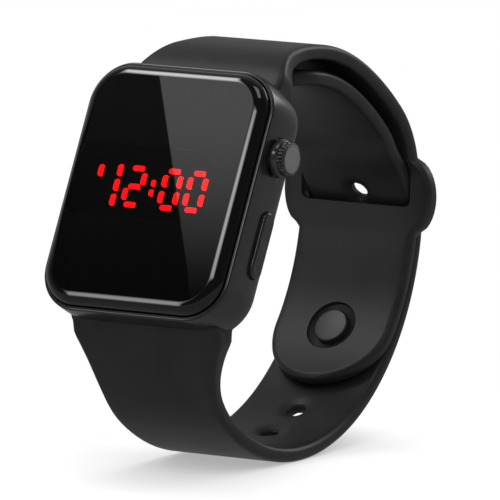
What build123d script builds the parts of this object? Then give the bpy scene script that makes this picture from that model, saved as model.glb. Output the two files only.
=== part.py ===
"""Square cased digital wrist watch on a two piece silicone strap, closed into a loop.

Millimetres. +X points from the middle of the case to its crown and +Z is up. The watch stands on
its closed strap, with the dial towards -Y and leaning back by case_tilt. The origin is the centre
of the case back's outer face. Heights are measured from that face towards the glass, and distances
along the case from its middle towards 12 o'clock.
"""
from build123d import *
import os
from math import cos, radians, sin

os.makedirs("parts", exist_ok=True)

# Case
case_tilt = 26.4
side_wall = 3.6
end_wall = 2.45
bar_end_margin = 2.4
case_corner_radius = 7.2
rim_height = 9.4
case_bottom_height = 0.3
bottom_chamfer = 1.0
rim_chamfer = 0.25
overrun = 1.0

# Glass and its seat
glass_gap = 0.05
rim_width = 0.75
glass_seat_height = 8.2
glass_gasket_thickness = 0.3
glass_thickness = 2.8
glass_edge_chamfers = ((1.6, 1.0), (0.9, 0.45))
glass_gasket_width = 1.1
mask_gap = 0.05

# Cavity for the module, and the deck over it
cavity_length = 26.6
cavity_corner_cut = 3.8
display_side_gap = 0.405
deck_thickness = 0.8

# Strap pockets under both ends of the case
bar_height = 2.2
root_radius = 2.6
root_sides = 16
flare_width = 28.0
pocket_clearance = 0.2
root_clearance = 0.25

# Case back, its gasket, screws and the sheet inside it
back_lap = 1.4
back_corner_radius = 3.4
back_thickness = 1.1
back_clearance = 0.1
back_edge_chamfer = 0.25
back_gasket_gap = 0.1
back_gasket_width = 0.7
back_gasket_thickness = 0.5
back_screw_inset = 2.2
screw_head_radius = 1.1
screw_head_thickness = 0.5
screw_shank_radius = 0.5
screw_length = 3.4
screw_clearance = 0.08
screw_slot_width = 0.35
screw_slot_depth = 0.25
screw_sides = 6
sheet_thickness = 0.2
sheet_gap = 0.3

# Module: frame, cell, circuit board and what is on it
frame_gap = 0.3
frame_wall = 0.9
web_height = 3.6
web_thickness = 0.4
cell_radius = 10.0
cell_sides = 30
cell_thickness = 1.6
cell_cap_radius = 8.6
cell_cap_step = 0.35
cell_gap = 0.2
board_gap = 0.8
board_height = 5.2
board_thickness = 0.8
module_screw_side_inset = 4.7
module_screw_end_inset = 2.6
module_post_radius = 1.25
module_screw_head_radius = 0.85
module_screw_head_thickness = 0.4
module_screw_radius = 0.4
module_screw_length = 3.0
chip_size = 5.0
chip_thickness = 0.8
chip_x = -4.2
chip_along = 3.2
crystal_length = 3.2
crystal_width = 1.5
crystal_thickness = 0.8
crystal_x = 3.6
crystal_along = 4.4
contact_thickness = 0.2
contact_width = 2.4
contact_gap = 0.05
contact_slot_gap = 0.2
negative_bend = 2.1
screw_end_gap = 0.3
chip_chamfer = 0.2

# Display
middle_row_along = 0.65
digit_rise = 3.05
upright_rise = 1.35
digit_width = 2.85
digit_pitch = 4.76
colon_x = -2.0
colon_gap = 3.42
one_gap = 3.4
one_pitch = 2.5
mark_gap = 3.6
mark_rise = 2.2
dot_rise = 0.8
upright_length = 2.1
upright_width = 1.15
level_length = 2.35
level_width = 1.0
dot_length = 1.25
pill_corner_cut = 0.3
reflector_margin = 0.5
reflector_gap = 0.2
pill_below_glass = 0.05
mask_thickness = 0.2
led_length = 1.0
led_width = 0.6
led_thickness = 0.4

# Crown and its push switch, on an axis along X
crown_along = 8.4
crown_height = 4.9
crown_radius = 3.15
crown_face_radius = 2.35
crown_inner_radius = 2.65
crown_gap = 0.25
crown_skirt_length = 0.5
crown_rim_length = 1.25
crown_crest_length = 0.7
crown_face_thickness = 0.8
crown_teeth_count = 30
crown_tooth_depth = 0.28
crown_travel = 0.6
crown_recess_radius = 3.5
crown_recess_depth = 0.5
crown_pocket_radius = 2.1
crown_pocket_depth = 1.05
stem_radius = 0.6
stem_clearance = 0.06
tube_radius = 1.2
tube_inset = 0.5
tube_proud = 0.4
tube_flange_radius = 1.9
tube_flange_thickness = 0.4
seal_step_radius = 1.0
seal_step_depth = 0.8
seal_ring_gap = 0.02
seal_ring_thickness = 0.38
ring_sides = 12
washer_thickness = 0.15
washer_radius = 2.0
washer_gap = 0.03
clip_radius = 1.1
clip_thickness = 0.2
clip_groove_radius = 0.42
clip_gap = 0.03
clip_end_gap = 0.05
clip_opening = 0.7
crown_spring_radius = 1.55
spring_wire_radius = 0.1
spring_end_gap = 0.05
spring_steps = 8
crown_spring_turns = 2

# Side button, on an axis along X
button_along = -5.8
button_height = 3.6
button_length = 11.0
button_width = 3.0
button_pocket_depth = 1.5
button_clearance = 0.14
button_proud = 0.65
button_thickness = 1.6
button_edge_chamfer = 0.3
button_travel = 0.5
button_stem_radius = 0.5
button_stem_reach = 0.45
button_bore_clearance = 0.05
button_spring_well_radius = 1.2
button_spring_well_depth = 0.9
button_seal_well_radius = 0.9
button_seal_well_depth = 0.45
button_clip_radius = 0.9
button_groove_radius = 0.32
button_spring_radius = 0.95
button_spring_turns = 3

# Switches under the circuit board, facing the crown and the button
switch_depth = 2.0
switch_width = 3.6
switch_plunger_radius = 0.5
switch_plunger_length = 0.35
switch_rest_gap = 0.1

# Spring bars
bar_tube_radius = 0.8
bar_tube_wall = 0.18
bar_tube_inset = 1.4
bar_sides = 12
bar_lip_thickness = 0.3
bar_lip_clearance = 0.05
bar_tip_radius = 0.42
bar_tip_grip = 0.7
bar_tip_clearance = 0.05
bar_hole_end_gap = 0.1
bar_flange_thickness = 0.25
bar_flange_gap = 0.05
bar_travel = 1.0
bar_bore_clearance = 0.1
bar_spring_radius = 0.4
bar_spring_turns = 6

# Strap loop: runs of tangent arcs from the 12 o'clock spring bar round to the 6 o'clock one
loop_length = 155.4
loop_exit_angle = 6.4
run_length_shares = (0.0606, 0.141, 0.091, 0.0786, 0.106, 0.225, 0.170, 0.0687, 0.0589)
run_turns = (-60.0, -38.7, -16.0, -42.2, -24.3, -55.7, -46.5, -39.2, -18.3)
closing_runs = (4, 6)

# Straps
strap_width = 22.0
strap_thickness = 2.4
strap_root_thickness = 5.2
strap_edge_cut = 0.6
strap_thinning_length = 18.0
flare_start = 3.4
flare_length = 11.5
strap_gap = 0.35
section_step = 5.2
slope_step = 0.01
upper_length = 95.5
lower_width = 20.4
lower_tail_station = 9.5
tail_gap = 1.8
crossing_start = 50.0
crossing_end = 68.0
slot_start = 58.0
slot_end = 62.8
slot_width = 21.0
slot_clearance = 0.12
bulge_station = 61.2
bulge_half_length = 5.9
bulge_reach = 3.2
bulge_extra_thickness = 0.5
bulge_sections = 8

# Closure stud and the holes for it
stud_station = 84.6
hole_pitch = 8.0
holes_towards_tail = 3
holes_towards_root = 3
hole_radius = 1.45
hole_sides = 10
stud_base_radius = 3.0
stud_base_thickness = 0.9
stud_recess_radius = 4.4
stud_recess_depth = 0.6
stud_shaft_radius = 1.3
stud_head_radius = 2.2
stud_head_thickness = 0.9
stud_clearance = 0.1
stud_head_gap = 0.05
stud_chamfer = 0.3

# Directions and planes of the case
dial_up = Vector(0, sin(radians(case_tilt)), cos(radians(case_tilt)))
dial_out = Vector(0, -cos(radians(case_tilt)), sin(radians(case_tilt)))
case_plane = Plane(origin=(0, 0, 0), x_dir=(1, 0, 0), z_dir=dial_out)


def side_plane(reach, along, height):
    """Plane facing +X, whose own x runs towards 12 o'clock and y towards the glass."""
    origin = case_plane.from_local_coords((reach, along, height))
    return Plane(origin=origin, x_dir=dial_up, z_dir=(1, 0, 0))


def axis_along_x(along, height):
    """Axis parallel to X at a place in the case."""
    return Axis(case_plane.from_local_coords((0, along, height)), (1, 0, 0))


def turned_profile(along, height, points):
    """Half profile of (reach, radius) points beside an axis parallel to X."""
    origin = case_plane.from_local_coords((0, along, height))
    with BuildSketch(Plane(origin=origin, x_dir=(1, 0, 0), z_dir=dial_up)) as profile:
        with BuildLine():
            Polyline(*points, close=True)
        make_face()
    return profile.sketch


def seal_ring(reach, along, height, outer_radius, inner_radius):
    """Rubber seal ring about an axis parallel to X, centred at a reach."""
    with BuildPart() as ring:
        with BuildSketch(side_plane(reach - seal_ring_thickness / 2, along, height)):
            RegularPolygon(outer_radius - seal_ring_gap, ring_sides)
            RegularPolygon(
                inner_radius + seal_ring_gap, ring_sides, major_radius=False, mode=Mode.SUBTRACT
            )
        extrude(amount=seal_ring_thickness)
    return ring.part


def coil(along, height, start, end, coil_radius, turns):
    """Compression spring about an axis parallel to X, between two reaches."""
    margin = spring_wire_radius + spring_end_gap
    rise = end - start - 2 * margin
    base = side_plane(start + margin, along, height)
    points = []
    for k in range(turns * spring_steps + 1):
        angle = radians(360 * k / spring_steps)
        climb = rise * k / (turns * spring_steps)
        point = (coil_radius * cos(angle), coil_radius * sin(angle), climb)
        points.append(base.from_local_coords(point))
    across = Plane(origin=points[0], x_dir=points[0] - base.origin, z_dir=points[1] - points[0])
    with BuildPart() as spring:
        with BuildLine():
            Polyline(*points)
        with BuildSketch(across):
            Rectangle(2 * spring_wire_radius, 2 * spring_wire_radius)
        sweep(transition=Transition.RIGHT)
    return spring.part


# Display layout: (x, along, upright, lit) for each light pill
def digit_pills(x, missing):
    """Seven pills of one digit; missing names those that stay dark."""
    half = digit_width / 2
    upper = middle_row_along + upright_rise
    lower = middle_row_along - upright_rise
    pills = {
        "top": (x, middle_row_along + digit_rise, False),
        "upper_left": (x - half, upper, True),
        "upper_right": (x + half, upper, True),
        "middle": (x, middle_row_along, False),
        "lower_left": (x - half, lower, True),
        "lower_right": (x + half, lower, True),
        "bottom": (x, middle_row_along - digit_rise, False),
    }
    return [(px, py, upright, name not in missing) for name, (px, py, upright) in pills.items()]


two_x = colon_x - colon_gap
zero_x = colon_x + colon_gap
one_x = two_x - one_gap
mark_x = one_x - mark_gap
digits = digit_pills(two_x, ("upper_left", "lower_right"))
digits += digit_pills(zero_x, ("middle",))
digits += digit_pills(zero_x + digit_pitch, ("middle",))
digits += [(one_x, middle_row_along + k * one_pitch, True, True) for k in (-1, 0, 1)]
digits += [(mark_x, middle_row_along + mark_rise, True, True)]
dots = [(colon_x, middle_row_along + k * dot_rise) for k in (-1, 1)]
reflector_left = mark_x - upright_width / 2 - reflector_margin
reflector_right = zero_x + digit_pitch + (digit_width + upright_width) / 2 + reflector_margin
reflector_width = reflector_right - reflector_left
reflector_length = 2 * (digit_rise + reflector_margin) + level_width
reflector_x = (reflector_left + reflector_right) / 2


# Places that follow from the sizes above
corner_share = 2 - 2 ** 0.5
cavity_width = 2 * (display_side_gap - reflector_left)
case_width = cavity_width + 2 * side_wall
bar_along = cavity_length / 2 + end_wall + root_clearance + root_radius
case_length = 2 * (bar_along + bar_end_margin)
back_width = cavity_width + 2 * back_lap
back_length = cavity_length + 2 * back_lap
back_screw_x = back_width / 2 - back_screw_inset
back_screw_along = back_length / 2 - back_screw_inset
glass_width = case_width - 2 * rim_width - 2 * glass_gap
glass_length = case_length - 2 * rim_width - 2 * glass_gap
glass_corner_radius = case_corner_radius - rim_width - glass_gap
glass_bottom = glass_seat_height + glass_gasket_thickness
deck_bottom = glass_seat_height - deck_thickness
pocket_inner = cavity_length / 2 + end_wall
pocket_top = bar_height + root_radius + root_clearance
pocket_width = flare_width + 2 * pocket_clearance
board_top = board_height + board_thickness
frame_width = cavity_width - 2 * frame_gap
frame_length = cavity_length - 2 * frame_gap
frame_bottom = back_thickness + sheet_thickness
module_screw_x = frame_width / 2 - module_screw_side_inset
module_screw_along = frame_length / 2 - module_screw_end_inset
mask_bottom = glass_bottom - mask_thickness
bar_tip_end = pocket_width / 2 + bar_tip_grip
bar_hole_end = bar_tip_end + bar_hole_end_gap
button_pocket_floor = case_width / 2 - button_pocket_depth
button_top = case_width / 2 + button_proud
button_stem_start = cavity_width / 2 - button_stem_reach
crown_recess_floor = case_width / 2 - crown_recess_depth
crown_start = case_width / 2 + crown_gap
crown_rim_start = crown_start + crown_skirt_length
crown_rim_end = crown_rim_start + crown_rim_length
crown_end = crown_rim_end + crown_crest_length
stem_start = cavity_width / 2
tube_start = cavity_width / 2 + tube_inset
tube_end = case_width / 2 + tube_proud


def cut_corners(width, height, cut, mode=Mode.ADD):
    """Rectangle with its four corners cut off."""
    x, y = width / 2, height / 2
    return Polygon(
        (cut - x, -y), (x - cut, -y), (x, cut - y), (x, y - cut),
        (x - cut, y), (cut - x, y), (-x, y - cut), (-x, cut - y),
        mode=mode,
    )


def cavity_outline(inset, mode=Mode.ADD):
    """Outline of the cavity, smaller all round by inset, or larger where that is negative."""
    return cut_corners(
        cavity_width - 2 * inset,
        cavity_length - 2 * inset,
        cavity_corner_cut - inset * corner_share,
        mode,
    )


def draw_pills(lit):
    """Light pills of one kind, drawn in the open sketch."""
    for x, along, upright, is_lit in digits:
        if is_lit == lit:
            with Locations((x, along)):
                if upright:
                    cut_corners(upright_width, upright_length, pill_corner_cut)
                else:
                    cut_corners(level_length, level_width, pill_corner_cut)
    if lit:
        with Locations(*dots):
            cut_corners(level_width, dot_length, pill_corner_cut)


# Mid case: walls and deck in one casting, with pockets for the strap roots
with BuildPart() as mid_case:
    with BuildSketch(case_plane.offset(case_bottom_height)):
        RectangleRounded(case_width, case_length, case_corner_radius)
    extrude(amount=rim_height - case_bottom_height)
    chamfer(mid_case.faces().sort_by(Axis((0, 0, 0), dial_out))[0].edges(), bottom_chamfer)
    chamfer(mid_case.faces().sort_by(Axis((0, 0, 0), dial_out))[-1].edges(), rim_chamfer)
    with BuildSketch(case_plane.offset(glass_seat_height)):
        RectangleRounded(
            case_width - 2 * rim_width, case_length - 2 * rim_width, case_corner_radius - rim_width
        )
    extrude(amount=rim_height - glass_seat_height + overrun, mode=Mode.SUBTRACT)
    with BuildSketch(case_plane.offset(-overrun)):
        cavity_outline(0)
    extrude(amount=deck_bottom + overrun, mode=Mode.SUBTRACT)
    with BuildSketch(case_plane.offset(-overrun)):
        RectangleRounded(
            back_width + 2 * back_clearance,
            back_length + 2 * back_clearance,
            back_corner_radius + back_clearance,
        )
    extrude(amount=back_thickness + overrun, mode=Mode.SUBTRACT)
    with BuildSketch(case_plane.offset(deck_bottom - overrun)):
        with Locations((reflector_x, middle_row_along)):
            Rectangle(reflector_width + 2 * reflector_gap, reflector_length + 2 * reflector_gap)
    extrude(amount=deck_thickness + 2 * overrun, mode=Mode.SUBTRACT)
    pocket_length = case_length / 2 - pocket_inner + overrun
    with BuildSketch(case_plane.offset(-overrun)):
        with Locations(
            (0, pocket_inner + pocket_length / 2),
            (0, -pocket_inner - pocket_length / 2),
        ):
            Rectangle(pocket_width, pocket_length)
    extrude(amount=pocket_top + overrun, mode=Mode.SUBTRACT)
    with BuildSketch(case_plane.offset(back_thickness)):
        with GridLocations(2 * back_screw_x, 2 * back_screw_along, 2, 2):
            RegularPolygon(screw_shank_radius + screw_clearance, screw_sides)
    extrude(amount=screw_length, mode=Mode.SUBTRACT)
    for bar_end in (bar_along, -bar_along):
        with BuildSketch(side_plane(-bar_hole_end, bar_end, bar_height)):
            RegularPolygon(bar_tip_radius + bar_tip_clearance, bar_sides, major_radius=False)
        extrude(amount=2 * bar_hole_end, mode=Mode.SUBTRACT)
    revolve(
        turned_profile(
            crown_along,
            crown_height,
            [
                (stem_start - overrun, 0),
                (stem_start - overrun, tube_radius),
                (crown_recess_floor, tube_radius),
                (crown_recess_floor, crown_recess_radius),
                (case_width / 2 + overrun, crown_recess_radius),
                (case_width / 2 + overrun, 0),
            ],
        ),
        axis=axis_along_x(crown_along, crown_height),
        mode=Mode.SUBTRACT,
    )
    with BuildSketch(side_plane(button_pocket_floor, button_along, button_height)):
        SlotOverall(button_length + 2 * button_clearance, button_width + 2 * button_clearance)
    extrude(amount=button_pocket_depth + overrun, mode=Mode.SUBTRACT)
    spring_well_floor = button_pocket_floor - button_spring_well_depth
    seal_well_floor = spring_well_floor - button_seal_well_depth
    for floor, well_radius in (
        (button_stem_start, button_stem_radius + button_bore_clearance),
        (seal_well_floor, button_seal_well_radius),
        (spring_well_floor, button_spring_well_radius),
    ):
        with BuildSketch(side_plane(floor, button_along, button_height)):
            RegularPolygon(well_radius, ring_sides, major_radius=False)
        extrude(amount=case_width / 2 - floor, mode=Mode.SUBTRACT)
mid_case.part.label = "mid_case"
export_step(mid_case.part, "parts/mid_case.step")

# Glass: flat in the middle, with its edge falling to the rim in two steps
with BuildPart() as lens:
    with BuildSketch(case_plane.offset(glass_bottom)):
        RectangleRounded(glass_width, glass_length, glass_corner_radius)
    extrude(amount=glass_thickness)
    for inset, drop in glass_edge_chamfers:
        lens_top = lens.faces().sort_by(Axis((0, 0, 0), dial_out))[-1]
        chamfer(lens_top.edges(), inset, drop, reference=lens_top)
lens.part.label = "lens"
export_step(lens.part, "parts/lens.step")

with BuildPart() as lens_gasket:
    with BuildSketch(case_plane.offset(glass_seat_height)):
        RectangleRounded(glass_width, glass_length, glass_corner_radius)
        cut_corners(
            glass_width - 2 * glass_gasket_width,
            glass_length - 2 * glass_gasket_width,
            (glass_corner_radius - glass_gasket_width) * corner_share,
            mode=Mode.SUBTRACT,
        )
    extrude(amount=glass_gasket_thickness)
lens_gasket.part.label = "lens_gasket"
export_step(lens_gasket.part, "parts/lens_gasket.step")

# Display: dark film under the glass, reflector block, light pills and their chips
with BuildPart() as display_mask:
    with BuildSketch(case_plane.offset(mask_bottom)):
        cut_corners(
            glass_width - 2 * (glass_gasket_width + mask_gap),
            glass_length - 2 * (glass_gasket_width + mask_gap),
            (glass_corner_radius - glass_gasket_width) * corner_share,
        )
        with Locations((reflector_x, middle_row_along)):
            Rectangle(
                reflector_width + 2 * reflector_gap,
                reflector_length + 2 * reflector_gap,
                mode=Mode.SUBTRACT,
            )
    extrude(amount=mask_thickness)
display_mask.part.label = "display_mask"
export_step(display_mask.part, "parts/display_mask.step")

pill_top = glass_bottom - pill_below_glass

with BuildPart() as display_reflector:
    with BuildSketch(case_plane.offset(board_top)):
        with Locations((reflector_x, middle_row_along)):
            Rectangle(reflector_width, reflector_length)
    extrude(amount=pill_top - board_top)
    with BuildSketch(case_plane.offset(board_top)):
        for pill_x, pill_along, upright, is_lit in digits:
            with Locations((pill_x, pill_along)):
                if upright:
                    Rectangle(upright_width, upright_length)
                else:
                    Rectangle(level_length, level_width)
        with Locations(*dots):
            Rectangle(level_width, dot_length)
    extrude(amount=pill_top - board_top, mode=Mode.SUBTRACT)
display_reflector.part.label = "display_reflector"
export_step(display_reflector.part, "parts/display_reflector.step")

with BuildPart() as lit_segments:
    with BuildSketch(case_plane.offset(board_top + led_thickness)):
        draw_pills(True)
    extrude(amount=pill_top - board_top - led_thickness)
lit_segments.part.label = "lit_segments"
export_step(lit_segments.part, "parts/lit_segments.step")

with BuildPart() as unlit_segments:
    with BuildSketch(case_plane.offset(board_top + led_thickness)):
        draw_pills(False)
    extrude(amount=pill_top - board_top - led_thickness)
unlit_segments.part.label = "unlit_segments"
export_step(unlit_segments.part, "parts/unlit_segments.step")

with BuildPart() as led_chips:
    with BuildSketch(case_plane.offset(board_top)):
        for pill_x, pill_along, upright, is_lit in digits:
            with Locations((pill_x, pill_along)):
                Rectangle(led_length, led_width, rotation=90 if upright else 0)
        with Locations(*dots):
            Rectangle(led_width, led_width)
    extrude(amount=led_thickness)
led_chips.part.label = "led_chips"
export_step(led_chips.part, "parts/led_chips.step")

# Circuit board and the parts soldered under it
with BuildPart() as circuit_board:
    with BuildSketch(case_plane.offset(board_height)):
        cavity_outline(board_gap)
        with GridLocations(2 * module_screw_x, 2 * module_screw_along, 2, 2):
            RegularPolygon(module_screw_radius + screw_clearance, screw_sides, mode=Mode.SUBTRACT)
    extrude(amount=board_thickness)
circuit_board.part.label = "circuit_board"
export_step(circuit_board.part, "parts/circuit_board.step")

with BuildPart() as controller_chip:
    with BuildSketch(case_plane.offset(board_height - chip_thickness)):
        with Locations((chip_x, chip_along)):
            Rectangle(chip_size, chip_size)
    extrude(amount=chip_thickness)
    chamfer(controller_chip.faces().sort_by(Axis((0, 0, 0), dial_out))[0].edges(), chip_chamfer)
controller_chip.part.label = "controller_chip"
export_step(controller_chip.part, "parts/controller_chip.step")

with BuildPart() as quartz_crystal:
    with BuildSketch(case_plane.offset(board_height - crystal_thickness)):
        with Locations((crystal_x, crystal_along)):
            Rectangle(crystal_length, crystal_width)
    extrude(amount=crystal_thickness)
quartz_crystal.part.label = "quartz_crystal"
export_step(quartz_crystal.part, "parts/quartz_crystal.step")

# Switches hang from the board, each with a plunger towards its button
crown_plunger_end = stem_start - crown_travel - switch_rest_gap
button_plunger_end = button_stem_start - button_travel - switch_rest_gap


def switch_solids(plunger_end, along, height):
    """Side push switch: a block under the board and its plunger."""
    block_end = plunger_end - switch_plunger_length
    block_bottom = height - switch_depth / 2
    with BuildPart() as switch:
        with BuildSketch(case_plane.offset(block_bottom)):
            with Locations((block_end - switch_depth / 2, along)):
                Rectangle(switch_depth, switch_width)
        extrude(amount=board_height - block_bottom)
        with BuildSketch(side_plane(block_end, along, height)):
            Rectangle(2 * switch_plunger_radius, 2 * switch_plunger_radius)
        extrude(amount=switch_plunger_length)
    return switch.part


with BuildPart() as crown_switch:
    add(switch_solids(crown_plunger_end, crown_along, crown_height - switch_plunger_radius))
crown_switch.part.label = "crown_switch"
export_step(crown_switch.part, "parts/crown_switch.step")

with BuildPart() as button_switch:
    add(switch_solids(button_plunger_end, button_along, button_height))
button_switch.part.label = "button_switch"
export_step(button_switch.part, "parts/button_switch.step")

# Bent up end of the positive contact stands beside the cell
cell_wall_place = cell_radius + contact_gap + contact_thickness / 2

# Module frame: ring wall, web under the board and screw posts, open for the cell and switches
with BuildPart() as module_frame:
    with BuildSketch(case_plane.offset(frame_bottom)):
        cavity_outline(frame_gap)
        cavity_outline(frame_gap + frame_wall, mode=Mode.SUBTRACT)
        with GridLocations(2 * module_screw_x, 2 * module_screw_along, 2, 2):
            Rectangle(2 * module_post_radius, 2 * module_post_radius)
    extrude(amount=board_height - frame_bottom)
    with BuildSketch(case_plane.offset(web_height)):
        cavity_outline(frame_gap)
        RegularPolygon(cell_cap_radius - frame_wall, cell_sides, mode=Mode.SUBTRACT)
    extrude(amount=web_thickness)
    with BuildSketch(case_plane.offset(frame_bottom - overrun)):
        RegularPolygon(cell_radius + cell_gap, cell_sides, major_radius=False)
    extrude(amount=web_height - frame_bottom + overrun, mode=Mode.SUBTRACT)
    notch_depth = frame_width / 2 - button_plunger_end + switch_plunger_length
    notch_depth += switch_depth + 2 * switch_rest_gap
    for notch_along in (crown_along, button_along):
        with BuildSketch(case_plane.offset(frame_bottom - overrun)):
            with Locations((frame_width / 2 - notch_depth / 2 + overrun / 2, notch_along)):
                Rectangle(notch_depth + overrun, switch_width + 2 * switch_rest_gap)
        extrude(amount=board_height - frame_bottom + 2 * overrun, mode=Mode.SUBTRACT)
    with BuildSketch(case_plane.offset(board_height)):
        with GridLocations(2 * module_screw_x, 2 * module_screw_along, 2, 2):
            RegularPolygon(module_screw_radius + screw_clearance, screw_sides)
    extrude(amount=board_thickness - module_screw_length - screw_end_gap, mode=Mode.SUBTRACT)
    with BuildSketch(case_plane.offset(frame_bottom - overrun)):
        with Locations((0, -cell_wall_place)):
            Rectangle(
                contact_width + 2 * contact_slot_gap, contact_thickness + 2 * contact_slot_gap
            )
    extrude(amount=board_height - frame_bottom + 2 * overrun, mode=Mode.SUBTRACT)
module_frame.part.label = "module_frame"
export_step(module_frame.part, "parts/module_frame.step")

with BuildPart() as module_screws:
    with BuildSketch(case_plane.offset(board_top)):
        with GridLocations(2 * module_screw_x, 2 * module_screw_along, 2, 2):
            RegularPolygon(module_screw_head_radius, screw_sides)
    extrude(amount=module_screw_head_thickness)
    with BuildSketch(case_plane.offset(board_top)):
        with GridLocations(2 * module_screw_x, 2 * module_screw_along, 2, 2):
            RegularPolygon(module_screw_radius, screw_sides)
    extrude(amount=-module_screw_length)
    with BuildSketch(case_plane.offset(board_top + module_screw_head_thickness)):
        with GridLocations(2 * module_screw_x, 2 * module_screw_along, 2, 2):
            Rectangle(2 * module_screw_head_radius + overrun, screw_slot_width)
    extrude(amount=-screw_slot_depth, mode=Mode.SUBTRACT)
module_screws.part.label = "module_screws"
export_step(module_screws.part, "parts/module_screws.step")

# Coin cell with its can towards the case back, between the two contacts
cell_bottom = frame_bottom + contact_thickness
cell_cap_height = cell_thickness - cell_cap_step
with BuildPart() as coin_cell:
    with BuildSketch(case_plane.offset(cell_bottom)):
        RegularPolygon(cell_radius, cell_sides)
    extrude(amount=cell_cap_height)
    chamfer(coin_cell.faces().sort_by(Axis((0, 0, 0), dial_out))[0].edges(), cell_cap_step)
    with BuildSketch(case_plane.offset(cell_bottom + cell_cap_height)):
        RegularPolygon(cell_cap_radius, cell_sides)
    extrude(amount=cell_cap_step)
coin_cell.part.label = "coin_cell"
export_step(coin_cell.part, "parts/coin_cell.step")

cell_top = cell_bottom + cell_thickness
positive_reach = cell_radius / 2
contact_end = cell_wall_place + contact_thickness / 2
with BuildPart() as battery_contact_positive:
    with BuildSketch(case_plane.offset(frame_bottom)):
        with Locations((0, -(positive_reach + contact_end) / 2)):
            Rectangle(contact_width, contact_end - positive_reach)
    extrude(amount=contact_thickness)
    with BuildSketch(case_plane.offset(frame_bottom)):
        with Locations((0, -cell_wall_place)):
            Rectangle(contact_width, contact_thickness)
    extrude(amount=board_height - frame_bottom)
battery_contact_positive.part.label = "battery_contact_positive"
export_step(battery_contact_positive.part, "parts/battery_contact_positive.step")

with BuildPart() as battery_contact_negative:
    with BuildSketch(case_plane.offset(cell_top)):
        with Locations((0, negative_bend - cell_cap_radius / 2)):
            Rectangle(contact_width, cell_cap_radius)
    extrude(amount=contact_thickness)
    with BuildSketch(case_plane.offset(cell_top)):
        with Locations((0, negative_bend - contact_thickness / 2)):
            Rectangle(contact_width, contact_thickness)
    extrude(amount=board_height - cell_top)
battery_contact_negative.part.label = "battery_contact_negative"
export_step(battery_contact_negative.part, "parts/battery_contact_negative.step")

with BuildPart() as insulator_sheet:
    with BuildSketch(case_plane.offset(back_thickness)):
        cavity_outline(sheet_gap)
    extrude(amount=sheet_thickness)
insulator_sheet.part.label = "insulator_sheet"
export_step(insulator_sheet.part, "parts/insulator_sheet.step")

# Case back with a seal groove outside the cavity, and its four screws
def draw_back_gasket():
    """Ring outline of the case back's gasket, drawn in the open sketch."""
    cavity_outline(-back_gasket_gap - back_gasket_width)
    cavity_outline(-back_gasket_gap, mode=Mode.SUBTRACT)


with BuildPart() as case_back:
    with BuildSketch(case_plane):
        RectangleRounded(back_width, back_length, back_corner_radius)
    extrude(amount=back_thickness)
    chamfer(case_back.faces().sort_by(Axis((0, 0, 0), dial_out))[0].edges(), back_edge_chamfer)
    with BuildSketch(case_plane.offset(back_thickness)):
        draw_back_gasket()
    extrude(amount=-back_gasket_thickness, mode=Mode.SUBTRACT)
    with BuildSketch(case_plane):
        with GridLocations(2 * back_screw_x, 2 * back_screw_along, 2, 2):
            RegularPolygon(screw_head_radius + screw_clearance, screw_sides)
    extrude(amount=screw_head_thickness, mode=Mode.SUBTRACT)
    with BuildSketch(case_plane):
        with GridLocations(2 * back_screw_x, 2 * back_screw_along, 2, 2):
            RegularPolygon(screw_shank_radius + screw_clearance, screw_sides)
    extrude(amount=back_thickness, mode=Mode.SUBTRACT)
case_back.part.label = "case_back"
export_step(case_back.part, "parts/case_back.step")

with BuildPart() as back_gasket:
    with BuildSketch(case_plane.offset(back_thickness)):
        draw_back_gasket()
    extrude(amount=-back_gasket_thickness)
back_gasket.part.label = "back_gasket"
export_step(back_gasket.part, "parts/back_gasket.step")

with BuildPart() as case_back_screws:
    with BuildSketch(case_plane):
        with GridLocations(2 * back_screw_x, 2 * back_screw_along, 2, 2):
            RegularPolygon(screw_head_radius, screw_sides)
    extrude(amount=screw_head_thickness)
    with BuildSketch(case_plane.offset(screw_head_thickness)):
        with GridLocations(2 * back_screw_x, 2 * back_screw_along, 2, 2):
            RegularPolygon(screw_shank_radius, screw_sides)
    extrude(amount=screw_length)
    with BuildSketch(case_plane):
        with GridLocations(2 * back_screw_x, 2 * back_screw_along, 2, 2):
            Rectangle(2 * screw_head_radius + overrun, screw_slot_width)
    extrude(amount=screw_slot_depth, mode=Mode.SUBTRACT)
case_back_screws.part.label = "case_back_screws"
export_step(case_back_screws.part, "parts/case_back_screws.step")


# Crown: sealed tube in the wall, stem with its clip, spring, washer and toothed knob
crown_axis = axis_along_x(crown_along, crown_height)
tube_bore_radius = stem_radius + stem_clearance
with BuildPart() as crown_tube:
    revolve(
        turned_profile(
            crown_along,
            crown_height,
            [
                (tube_start, tube_bore_radius),
                (tube_start, tube_radius),
                (crown_recess_floor, tube_radius),
                (crown_recess_floor, tube_flange_radius),
                (crown_recess_floor + tube_flange_thickness, tube_flange_radius),
                (crown_recess_floor + tube_flange_thickness, tube_radius),
                (tube_end, tube_radius),
                (tube_end, seal_step_radius),
                (tube_end - seal_step_depth, seal_step_radius),
                (tube_end - seal_step_depth, tube_bore_radius),
            ],
        ),
        axis=crown_axis,
    )
crown_tube.part.label = "crown_tube"
export_step(crown_tube.part, "parts/crown_tube.step")

with BuildPart() as crown_gasket:
    add(
        seal_ring(
            tube_end - seal_step_depth / 2, crown_along, crown_height, seal_step_radius, stem_radius
        )
    )
crown_gasket.part.label = "crown_gasket"
export_step(crown_gasket.part, "parts/crown_gasket.step")

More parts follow.
